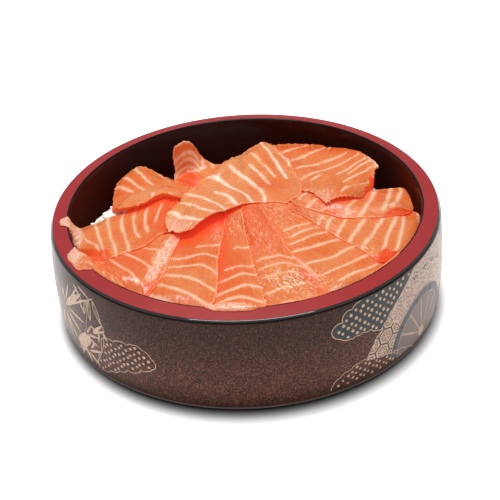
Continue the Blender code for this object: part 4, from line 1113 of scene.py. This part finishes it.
SLICES = [
    dict(name="slice_front_6", t=3.6, wall=107.4, corner=(7, 3), lap=[(4.0, -1, 2)],
         sec=[(-2, 27, 44, 22), (39, -35, 50, 33), (69, -85, 65, 30)],
         spark=[(0.5, 0.25, 0.15, 0.5, 0.5), (0.5, 0.8, 0.15, 0.1, 0.15)],
         red=[(0.35, 0.1, 0.35, 0.1, 0.5)], pale=[(0.75, 0.68, 0.16, 0.13, 0.04), (0.6, 0.95, 0.04, 0.2, 0.15)]),
    dict(name="slice_front_7", t=3.6, wall=107.4, corner=(6, 4),
         sec=[(27, 11, 20, 72), (68, -17, 48, 71), (102, -45, 90, 67)],
         bevels=[("v0", 0.78, 1.1, 11.0)], pale=[(0.9, 0.97, 0.08, 0.95, 0.16)], lap=[(1.5, -1, 2)], spark=[(0.7, 0.72, 0.10, 0.06, 0.06), (0.5, 0.2, 0.2, 0.5, 0.5)]),
    dict(name="slice_front_8", t=3.8, wall=106.5, corner=(5, 6),
         sec=[(29, 15, 29, 85), (64, 6, 38, 72), (107, 9, 50, 81)],
         bevels=[("v0", 0.84, 1.1, 7.5, 0.8)], red=[(0.45, 0.45, 0.35, 0.75, 0.35)], spark=[(0.8, 0.84, 0.08, 0.25, 0.12), (0.2, 0.1, 0.25, 0.5, 0.8)]),
    dict(name="slice_back_1", t=3.4, wall=103.0, corner=(6, 8),
         sec=[(56, -2, 50, 27), (55, 42, 58, -8), (52, 85, 88, -8)],
         lift=[(2.6, 0.0, 0.22, 0.6, 0.3), (4.0, 0.85, 0.2, 1.0, 0.3)], rim=0.36, rough=2.2, bevels=[("v1", 0.05, 0.56, 3.5)],
         pull=[("u0", -0.5, 0.26, -17.0, 0.22), ("u1", 0.02, 0.56, 4.6, 0.02), ("v1", 0.70, 0.86, 4.2, 0.06), ("u1", 0.72, 0.80, 1.4, 0.03)],
         red=[(0.3, 0.95, 0.15, 0.6, 0.5)],
         pale=[(0.95, 0.59, 0.07, 0.02, 0.09), (0.55, 0.06, 0.14, 0.3, 0.35), (0.7, 0.80, 0.10, 0.98, 0.10)], thin=[(0.7, 0.0, 0.22, 0.05, 0.35)]),
    dict(name="slice_front_5", t=3.6, wall=107.4, corner=(8, 2), lap=[(4.0, -1, 2)],
         sec=[(1, 4, 18, 21), (14, -52, 28, -4), (30, -109, 52, 11)],
         bevels=[("v1", 0.62, 0.97, 7.0, 0.40)], red=[(0.5, 0.2, 0.3, 0.5, 0.9)], spark=[(1.7, 0.74, 0.13, 0.6, 0.35), (0.5, 0.3, 0.2, 0.5, 0.5)],
         pale=[(0.45, 0.96, 0.06, 0.45, 0.4)]),
    dict(name="slice_front_4", t=3.4, wall=107.6, corner=(7, 5), lap=[(5.8, -1, 0.82), (4.0, 0.82, 2)], rough=2.6,
         sec=[(-7, 2, 15, -34), (-9, -50, 25, -13), (-9, -118, 47, -6)],
         red=[(0.70, 0.45, 0.4, 0.0, 0.30), (0.18, 0.1, 0.3, 0.5, 0.8), (0.28, 0.58, 0.22, 0.4, 0.5)], pull=[("u0", -0.5, 1.5, 4.0, 0.1)],
         pale=[(0.95, 1.0, 0.10, 0.35, 0.45), (0.5, 1.0, 0.07, 0.8, 0.5)], spark=[(0.5, 0.15, 0.15, 0.5, 0.5)]),
    dict(name="slice_front_3", t=3.6, wall=107.4, corner=(4, 4), lap=[(4.0, -1, 2)],
         sec=[(-23, 1, 28, -7), (-36, -45, 38, -16), (-44, -96, 56, -22)],
         red=[(1.0, 0.05, 0.22, 0.4, 0.8), (0.4, 0.35, 0.2, 0.2, 0.4)], pull=[("u0", -0.5, 1.5, 6.5, 0.1)], pale=[(0.95, 1.0, 0.05, 0.2, 0.35), (0.45, 0.2, 0.08, 0.86, 0.12)],
         spark=[(0.9, 0.22, 0.08, 0.88, 0.10)]),
    dict(name="slice_front_1", t=3.4, wall=107.6, corner=(4, 3), lap=[(10.5, -1, 0.30), (3.0, 0.30, 2)],
         sec=[(-73, -29, 40, -25), (-84, -52, 50, -38), (-95, -72, 57, -50)],
         thin=[(0.60, 0.5, 0.8, 0.0, 0.22)], rough=2.0, spark=[(0.6, 0.8, 0.3, 0.1, 0.2)],
         pale=[(0.9, 0.75, 0.45, 0.08, 0.2), (0.55, 0.85, 0.07, 0.62, 0.06), (0.55, 0.9, 0.06, 0.93, 0.05)]),
    dict(name="slice_front_2", t=3.6, wall=107.4, corner=(4, 4), lap=[(3.6, -1, 2)],
         sec=[(-51, -11, 28, -8), (-65, -42, 39, -5), (-74, -77, 44, -42)],
         bevels=[("v1", 0.84, 1.0, 6.0, 0.6)], red=[(0.32, 0.72, 0.35, 0.45, 0.45)],
         pale=[(1.2, 0.27, 0.16, 0.90, 0.10), (1.2, 0.5, 0.16, 0.87, 0.10), (1.1, 0.74, 0.12, 0.84, 0.09)],
         spark=[(0.9, 0.5, 0.3, 0.87, 0.15)]),
    dict(name="slice_back_5", t=3.6, wall=108.0, corner=(3, 10), lap=[(11.0, 0.58, 2)],
         sec=[(-42, 22, 46, 98), (-76, -12, 58, 90), (-113, -13, 29, 105)], rough=1.8,
         bevels=[("v0", 0.60, 1.1, 7.5, 0.7), ("u1", -0.1, 0.46, 5.0, 0.6)], red=[(0.5, 0.1, 0.2, 0.4, 0.6)], thin=[(0.5, 1.0, 0.15, 0.9, 0.4)], spark=[(0.8, 0.95, 0.1, 0.6, 0.4)],
         pale=[(1.1, 1.0, 0.10, 0.6, 0.5), (0.8, 0.9, 0.05, 0.5, 0.5)]),
    # slice_back_4: the first pale patch, along the lip, is a painted highlight, and the negative red patch above the
    # lip paints light
    dict(name="slice_back_4", t=3.4, wall=101.0, corner=(3, 8),
         sec=[(-33, 33, 22, 80), (-50, 40, 36, 90), (-66, 44.7, 52.6, 93), (-84, 36.7, 46.5, 90)],
         rough=2.4, lift=[(2.5, 0.65, 0.25, 1.0, 0.3)], pull=[("u1", 0.05, 0.28, 3.5, 0.08), ("u1", 0.42, 0.5, 1.2, 0.04), ("v0", 0.48, 1.6, 6.0, 0.35)],
         curl=dict(side=0, share=(0.2, 0.166, 0.114, 0.128), radius=2.8, angle=(40, 90, 110, 90)),
         under=0.35, bevels=[("v0", -0.1, 1.1, 1.0, 0.3)],
         red=[(0.25, 0.9, 0.3, 0.5, 0.35), (-0.35, 0.5, 0.5, 0.20, 0.16)], pale=[(0.50, 0.60, 0.42, 0.08, 0.05), (0.7, 0.51, 0.04, 0.2, 0.08), (0.7, 0.34, 0.05, 0.36, 0.07), (0.6, 0.9, 0.05, 0.97, 0.1)]),
    # slice_back_3: its lighter overall tone paints light on the shaded face of the tongue, and the patch of cut colour
    # on its belly is painted shade
    dict(name="slice_back_3", t=3.0, wall=101.0, corner=(6, 7), swap=1,
         sec=[(-3, 52, 18, 93), (-16, 50, 18, 91), (-27, 56, 29, 89), (-35, 62, 43, 86), (-45, 61, 38, 90)],
         curl=dict(side=1, share=(0.1, 0.2, 0.52, 0.66, 0.66), radius=7.5, angle=(0, 8, 55, 88, 84)),
         lift=[(6.0, 0.10, 0.30, 1.0, 0.4)], pull=[("v1", -0.1, 0.42, 3.6, 0.1)], rough=1.6,
         under=0.5, painted_shade_patch=[(0.95, 0.70, 0.20, 0.34, 0.15)], tone_and_red_shade=-0.25, bevels=[("v0", 0.25, 0.97, 5.0, 0.7)], red=[(0.5, 0.75, 0.3, 0.15, 0.22), (0.35, 0.75, 0.3, 0.8, 0.5)],
         pale=[(0.7, 0.1, 0.04, 0.95, 0.2), (0.7, 0.31, 0.04, 0.97, 0.2), (0.8, 0.47, 0.05, 0.83, 0.2), (0.8, 0.85, 0.2, 1.0, 0.04)]),
    dict(name="slice_back_2", t=3.6, wall=101.0, corner=(9, 6),
         sec=[(-45, -15, 44, 115), (-11, 30, 54, 112), (32, 57, 110, 102)],
         lift=[(6.0, 0.15, 0.30, 0.05, 0.5), (3.0, 0.93, 0.12, 1.0, 0.25)], tone_and_red_shade=-0.55, rim=0.36, rough=1.6,
         thin=[(0.88, 0.85, 0.42, 0.0, 0.30), (0.45, 0.0, 0.16, 0.5, 0.8)],
         pull=[("v1", 0.78, 0.97, -3.2, 0.10), ("u1", 0.62, 0.93, -3.0, 0.14), ("v0", 0.82, 1.5, 3.0, 0.10), ("v1", 0.44, 0.70, -7.0, 0.10), ("v1", 0.715, 0.745, 2.2, 0.02), ("u0", 0.25, 0.75, 1.5, 0.3)],
         red=[(0.75, 0.80, 0.16, 0.25, 0.30), (0.62, 0.87, 0.10, 0.75, 0.22)],
         pale=[(0.72, 0.0, 0.12, 0.45, 0.40), (0.9, 0.76, 0.03, 1.0, 0.03), (0.5, 0.3, 0.02, 0.93, 0.08)]),
]

# Fat lines of each slice: the line's u at v = 0, 1/4, 1/2, 3/4 and 1, its width in
# mm, and the v where it starts and ends.
LINES = {
    "slice_back_5": [
        (0.201, 0.209, 0.204, 0.138, 0.064, 1.2, 0.30, 0.72),
        (0.261, 0.277, 0.302, 0.288, 0.208, 1.5, 0.17, 1.00),
        (0.337, 0.356, 0.392, 0.417, 0.358, 1.3, 0.16, 1.00),
        (0.430, 0.456, 0.490, 0.515, 0.502, 1.3, 0.00, 1.00),
        (0.540, 0.573, 0.604, 0.631, 0.639, 1.2, 0.00, 1.00),
        (0.652, 0.678, 0.694, 0.725, 0.741, 1.3, 0.00, 1.00),
        (0.698, 0.746, 0.779, 0.922, 0.886, 1.9, 0.14, 1.00),
    ],
    "slice_front_1": [
        (0.392, 0.481, 0.621, 0.840, 1.153, 2.0, 0.00, 0.12),
        (0.422, 0.511, 0.651, 0.870, 1.183, 1.5, 0.26, 0.84),
        (0.452, 0.541, 0.681, 1.186, 1.637, 1.5, 0.48, 0.61),
    ],
    "slice_front_2": [
        (0.227, 0.326, 0.376, 0.411, 0.485, 1.2, 0.46, 0.80),
        (0.378, 0.513, 0.589, 0.679, 0.758, 1.3, 0.23, 0.76),
        (0.480, 0.678, 0.828, 0.882, 0.951, 1.5, 0.00, 0.70),
    ],
    "slice_front_3": [
        (0.433, 0.457, 0.433, 0.353, 0.319, 1.1, 0.58, 1.00),
        (0.474, 0.533, 0.515, 0.454, 0.453, 1.3, 0.13, 1.00),
        (0.563, 0.630, 0.616, 0.575, 0.658, 1.4, 0.00, 1.00),
        (0.682, 0.725, 0.729, 0.739, 0.846, 1.6, 0.00, 1.00),
        (0.789, 0.834, 0.865, 0.900, 0.978, 1.9, 0.00, 1.00),
        (0.909, 0.941, 0.965, 1.005, 1.067, 2.4, 0.00, 0.46),
    ],
    "slice_front_4": [
        (0.461, 0.441, 0.415, 0.380, 0.358, 0.9, 0.52, 1.00),
        (0.638, 0.621, 0.598, 0.560, 0.541, 1.0, 0.31, 1.00),
        (0.703, 0.696, 0.677, 0.636, 0.654, 1.4, 0.13, 1.00),
        (0.804, 0.797, 0.765, 0.723, 0.763, 1.7, 0.00, 1.00),
        (0.960, 0.865, 0.836, 0.824, 0.872, 2.2, 0.16, 1.00),
    ],
    "slice_front_5": [
        (0.503, 0.514, 0.502, 0.484, 0.518, 1.3, 0.17, 1.00),
        (0.581, 0.588, 0.577, 0.555, 0.616, 1.3, 0.15, 1.00),
        (0.678, 0.685, 0.661, 0.644, 0.707, 1.5, 0.15, 1.00),
        (0.800, 0.822, 0.791, 0.758, 0.834, 2.0, 0.15, 1.00),
        (0.919, 0.978, 0.973, 0.945, 0.983, 2.4, 0.13, 0.76),
    ],
    "slice_front_6": [
        (0.371, 0.368, 0.362, 0.383, 0.410, 1.0, 0.33, 0.73),
        (0.420, 0.419, 0.412, 0.423, 0.454, 1.3, 0.33, 0.87),
        (0.462, 0.468, 0.467, 0.484, 0.500, 1.4, 0.22, 1.00),
        (0.514, 0.537, 0.559, 0.567, 0.581, 1.7, 0.17, 1.00),
        (0.611, 0.668, 0.676, 0.676, 0.676, 1.7, 0.15, 1.00),
        (0.765, 0.791, 0.786, 0.788, 0.842, 1.6, 0.17, 1.00),
        (0.883, 0.895, 0.885, 0.889, 0.946, 1.5, 0.26, 0.85),
    ],
    "slice_front_7": [
        (0.226, 0.275, 0.296, 0.317, 0.336, 1.3, 0.00, 0.27),
        (0.307, 0.322, 0.327, 0.348, 0.366, 1.3, 0.00, 0.67),
        (0.400, 0.408, 0.417, 0.434, 0.447, 1.5, 0.00, 0.73),
        (0.513, 0.525, 0.539, 0.546, 0.553, 1.7, 0.00, 0.84),
        (0.652, 0.636, 0.648, 0.673, 0.689, 1.7, 0.00, 0.88),
        (0.793, 0.772, 0.762, 0.753, 0.754, 1.8, 0.17, 0.86),
        (0.872, 0.861, 0.859, 0.806, 0.788, 1.6, 0.22, 0.85),
    ],
    "slice_front_8": [
        (0.040, 0.113, 0.155, 0.156, 0.150, 1.4, 0.18, 0.74),
        (0.159, 0.238, 0.291, 0.290, 0.281, 1.5, 0.00, 0.86),
        (0.291, 0.390, 0.447, 0.463, 0.468, 1.2, 0.00, 0.35),
        (0.453, 0.547, 0.571, 0.581, 0.593, 1.3, 0.14, 1.00),
        (0.655, 0.680, 0.679, 0.684, 0.699, 1.7, 0.00, 1.00),
        (0.814, 0.819, 0.804, 0.800, 0.825, 1.8, 0.14, 1.00),
        (0.844, 0.862, 0.875, 0.887, 0.910, 1.6, 0.19, 1.00),
    ],
    "slice_back_1": [
        (-0.100, -0.020, 0.050, 0.150, 0.560, 1.6, 0.62, 1.00),
        (0.000, 0.150, 0.300, 0.460, 0.740, 1.7, 0.66, 0.97),
        (0.080, 0.220, 0.380, 0.550, 0.900, 1.8, 0.72, 1.00),
        (0.150, 0.300, 0.460, 0.620, 0.980, 1.6, 0.60, 1.00),
        (0.265, 0.410, 0.535, 0.733, 0.964, 1.6, 0.29, 0.40),
        (0.324, 0.483, 0.565, 0.763, 1.016, 1.5, 0.18, 0.90),
        (0.490, 0.625, 0.677, 0.881, 1.110, 1.6, 0.18, 0.72),
        (0.639, 0.754, 0.875, 1.096, 1.316, 1.7, 0.16, 0.60),
        (0.778, 0.887, 1.047, 1.247, 1.458, 1.4, 0.13, 0.39),
    ],
    "slice_back_2": [
        (0.103, 0.095, 0.116, 0.070, -0.047, 2.2, 0.00, 1.00),
        (0.237, 0.207, 0.219, 0.198, 0.067, 1.4, 0.00, 1.00),
        (0.342, 0.327, 0.328, 0.288, 0.208, 1.6, 0.00, 1.00),
        (0.455, 0.428, 0.422, 0.377, 0.323, 1.7, 0.00, 0.53),
        (0.587, 0.545, 0.545, 0.486, 0.452, 2.1, 0.00, 1.00),
        (0.685, 0.689, 0.661, 0.614, 0.569, 2.4, 0.00, 0.80),
        (0.796, 0.791, 0.777, 0.758, 0.733, 1.6, 0.32, 0.71),
        (0.873, 0.866, 0.853, 0.833, 0.823, 1.3, 0.41, 0.86),
        (0.934, 0.928, 0.922, 0.931, 0.976, 1.3, 0.33, 1.00),
        (0.990, 0.987, 0.987, 1.002, 1.033, 0.9, 0.47, 0.73),
    ],
    "slice_back_4": [
        (-0.157, -0.007, 0.142, 0.287, 0.448, 1.3, 0.73, 1.00),
        (0.225, 0.376, 0.528, 0.661, 0.766, 1.7, 0.49, 1.00),
        (0.398, 0.550, 0.707, 0.835, 0.931, 1.3, 0.36, 1.00),
        (0.535, 0.685, 0.831, 0.952, 1.057, 1.4, 0.39, 0.78),
    ],
    "slice_back_3": [
        (0.200, 0.220, 0.400, 0.300, 0.250, 1.0, 0.55, 1.00),
        (0.360, 0.380, 0.620, 0.520, 0.360, 1.2, 0.52, 1.00),
        (0.500, 0.550, 0.740, 0.670, 0.570, 1.2, 0.50, 1.00),
        (0.660, 0.700, 0.860, 0.780, 0.730, 2.0, 0.55, 1.00),
    ],
}


def heap_sheet():
    """The top of the bed as a coarse surface, for the draping."""
    k = np.arange(-108, 109, 2.0)
    x, y = np.meshgrid(k, k, indexing="ij")
    z = rice_height(x, y)
    n = len(k)
    ids = np.arange(n * n).reshape(n, n)
    r = np.hypot(x, y)
    ok = (r < rice_outline(np.arctan2(y, x)))
    good = ok[:-1, :-1] & ok[1:, :-1] & ok[1:, 1:] & ok[:-1, 1:]
    f = np.stack([ids[:-1, :-1][good], ids[1:, :-1][good], ids[1:, 1:][good], ids[:-1, 1:][good]], 1)
    return np.stack([x, y, z], -1).reshape(-1, 3), f.tolist()


def rim_sheet():
    p = [(109.3, 61.5, ""), (109.3, 61.5, ""), (109.6, 63.2, ""), (110.2, 63.6, ""), (115.0, 62.75, ""), (119.9, 61.5, ""), (121.2, 58.9, ""), (121.2, 58.9, "")]
    v, f, _ = lathe(p, 120, {"": 0})
    return v[:-2], [q for q in f if len(q) == 4]


def salmon():
    stack = Stack()
    stack.add(*rim_sheet())
    stack.add(*heap_sheet())
    tops, laid = {}, []
    for k, s in enumerate(SLICES):
        s["seed"] = 1.37 * k + 0.4
        verts, faces, attrs, grid = slice_shape(s, stack.height)
        stack.add(verts, faces)
        laid.append((s["name"], verts, faces, attrs, grid[2]))
        tops[s["name"]] = grid
    # painted red shade: how close a point is to the border of a slice that lies on it, stronger where that border
    # stands higher above the point
    for k, (name, verts, faces, attrs, top) in enumerate(laid):
        border = [q for _, _, _, _, o in laid[k + 1:] for q in np.concatenate([o[:, 0], o[-1], o[::-1, -1], o[0, ::-1]])]
        near = np.zeros(top.shape[0] * top.shape[1])
        if border:
            tree = KDTree(len(border))
            for i, q in enumerate(border):
                tree.insert((q[0], q[1], 0.0), i)
            tree.balance()
            for i, q in enumerate(top.reshape(-1, 3)):
                _, j, dist = tree.find((q[0], q[1], 0.0))
                rise = border[j][2] - q[2]
                if rise > -1.5:
                    high = min(1.0, max(0.0, (rise - 2.0) / 5.0))
                    near[i] = (0.26 + 0.74 * high) * math.exp(-(dist / (1.5 + 0.7 * max(0.0, rise))) ** 2)
        attrs["near"] = np.concatenate([np.zeros(len(near)), near])
        ob = mesh_object(name + "_visual", verts, faces, [MAT_SALMON], attrs, sharp=60)
        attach(ob, "root")
        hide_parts(name)
    return stack, tops


def rice_grains(stack):
    """Loose grains wherever the heap isn't covered by a slice."""
    rng = np.random.default_rng(11)
    shape, faces = grain_shape()
    spots = []
    # top of the heap
    step = 2.7
    for x in np.arange(-107, 107, step):
        for y in np.arange(-107, 107, step):
            px, py = x + rng.uniform(-1.2, 1.2), y + rng.uniform(-1.2, 1.2)
            r, a = math.hypot(px, py), math.atan2(py, px)
            edge = float(rice_outline(np.array(a)))
            if r > edge - 1.0:
                continue
            z = float(rice_height(np.array(px), np.array(py)))
            hit = stack.tree.ray_cast(Vector((px, py, z + 0.8)), Vector((0, 0, 1)))
            if hit[0] is not None:
                ring = [stack.tree.ray_cast(Vector((px + 7 * math.cos(t), py + 7 * math.sin(t), z + 0.8)), Vector((0, 0, 1)))[0]
                        for t in (0, 1.57, 3.14, 4.71)]
                if all(q is not None for q in ring):
                    continue
                room = hit[0].z - z
                if room < 2.6:
                    continue
            spots.append((px, py, z - 0.9 + rng.uniform(-0.7, 0.5), rng.uniform(0, math.tau), rng.normal(0, 0.25), 0.0))
            if hit[0] is None and rng.random() < 0.10:
                spots.append((px + 1, py - 1, z + 0.9, rng.uniform(0, math.tau), rng.normal(0, 0.35), 0.0))
    # the side of the heap
    for a in np.arange(0, math.tau, 0.034):
        edge = float(rice_outline(np.array(a)))
        if edge > 103.5:
            continue
        for z in np.arange(22.5, 43, 3.0):
            b = a + rng.uniform(-0.012, 0.012)
            r = edge * (0.978 if z > 27 else 0.965) - 0.7 + rng.uniform(-0.6, 0.5)
            spots.append((r * math.cos(b), r * math.sin(b), z + rng.uniform(-1, 1), b + math.pi / 2 + rng.normal(0, 0.7), rng.normal(0, 0.6), 1.0))
    verts, out = [], []
    n = len(shape)
    for i, (x, y, z, turn, tilt, _) in enumerate(spots):
        m = Matrix.Rotation(turn, 3, "Z") @ Matrix.Rotation(tilt, 3, "Y") @ Matrix.Rotation(rng.uniform(0, math.tau), 3, "X")
        k = rng.uniform(0.88, 1.08)
        p = shape * (k * rng.uniform(0.92, 1.05), k, k)
        verts.append(p @ np.array(m).T + (x, y, z))
        out += [tuple(i * n + q for q in f) for f in faces]
    ob = mesh_object("rice_grains", np.vstack(verts), out, [MAT_RICE])
    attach(ob, "root")
    print("grains", len(spots), "triangles", sum(len(f) - 2 for f in out))
    return ob


# ------------------------------------------------------------------- stage
def camera():
    """Stands where the photographer stood: 32 degrees above the table."""
    el, dist = math.radians(31.914), 994.9
    eye = np.array([0.0, -dist * math.cos(el), dist * math.sin(el)])
    fwd = -eye / np.linalg.norm(eye)
    right = np.array([1.0, 0.0, 0.0])
    up = np.cross(right, fwd)

    def rot(v, axis, deg):
        return np.array(Matrix.Rotation(math.radians(deg), 3, Vector(axis)) @ Vector(v))
    fwd, right = rot(fwd, up, -0.0864), rot(right, up, -0.0864)
    fwd, up = rot(fwd, right, -1.5386), rot(up, right, -1.5386)
    right, up = rot(right, fwd, 3.603), rot(up, fwd, 3.603)
    cam = bpy.data.cameras.new("view")
    cam.lens, cam.sensor_width = 115.2, 36.0
    cam.clip_start, cam.clip_end = 0.01, 20.0
    ob = bpy.data.objects.new("view", cam)
    m = Matrix.Identity(4)
    for i in range(3):
        m[i][0], m[i][1], m[i][2], m[i][3] = right[i], up[i], -fwd[i], (eye[i] + (61.5 + STAND if i == 2 else 0.0)) * MM
    ob.matrix_world = m
    scene.collection.objects.link(ob)
    scene.camera = ob
    return ob


def area(name, where, at, size, power, colour=(1, 1, 1)):
    lamp = bpy.data.lights.new(name, "AREA")
    lamp.shape = "RECTANGLE"
    lamp.size, lamp.size_y = size
    lamp.energy = power
    lamp.color = colour
    ob = bpy.data.objects.new(name, lamp)
    ob.location = where
    ob.rotation_euler = (Vector(at) - Vector(where)).to_track_quat("-Z", "Y").to_euler()
    scene.collection.objects.link(ob)
    return ob


WORLD, KEY, FILL = 0.39, 16.3, 3.8


def stage():
    k = 6.0
    floor = mesh_object("floor", np.array([(-k, -k, 0), (k, -k, 0), (k, k, 0), (-k, k, 0)]) / MM + (0, 0, -0.05), [(0, 1, 2, 3)], [floor_material()], datum=0.0)
    world = bpy.data.worlds.new("studio")
    scene.world = world
    world.use_nodes = True
    bg = world.node_tree.nodes["Background"]
    bg.inputs["Color"].default_value = (1.0, 1.0, 1.0, 1.0)
    bg.inputs["Strength"].default_value = WORLD
    lights = [area("key", (-0.05, 0.24, 1.35), (0, 0, 0.04), (0.55, 0.40), KEY),
              area("fill", (0.0, -0.75, 1.20), (0, -0.1, 0.06), (1.3, 0.14), FILL)]
    scene.view_settings.view_transform = "Standard"
    scene.view_settings.look = "None"
    scene.view_settings.exposure = 0.0
    scene.view_settings.gamma = 1.0


tub()
gold, dark, slate, pale, mist = Decals(0.10), Decals(0.06), Decals(0.11), Decals(0.05), Decals(0.04)
for turn in (0.0, math.pi):
    pattern(turn, gold, dark, slate, pale, mist)
for decal, name, mat in ((gold, "pattern_gold", MAT_GOLD), (dark, "pattern_dark", MAT_DARK),
                         (slate, "pattern_slate", MAT_SLATE), (pale, "pattern_lattice", MAT_LATTICE),
                         (mist, "pattern_mist", MAT_MIST)):
    ob = decal.object(name, mat)
    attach(ob, "root")
core = rice_core()
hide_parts("rice")
stack, tops = salmon()
rice_grains(stack)
stage()
cam = camera()
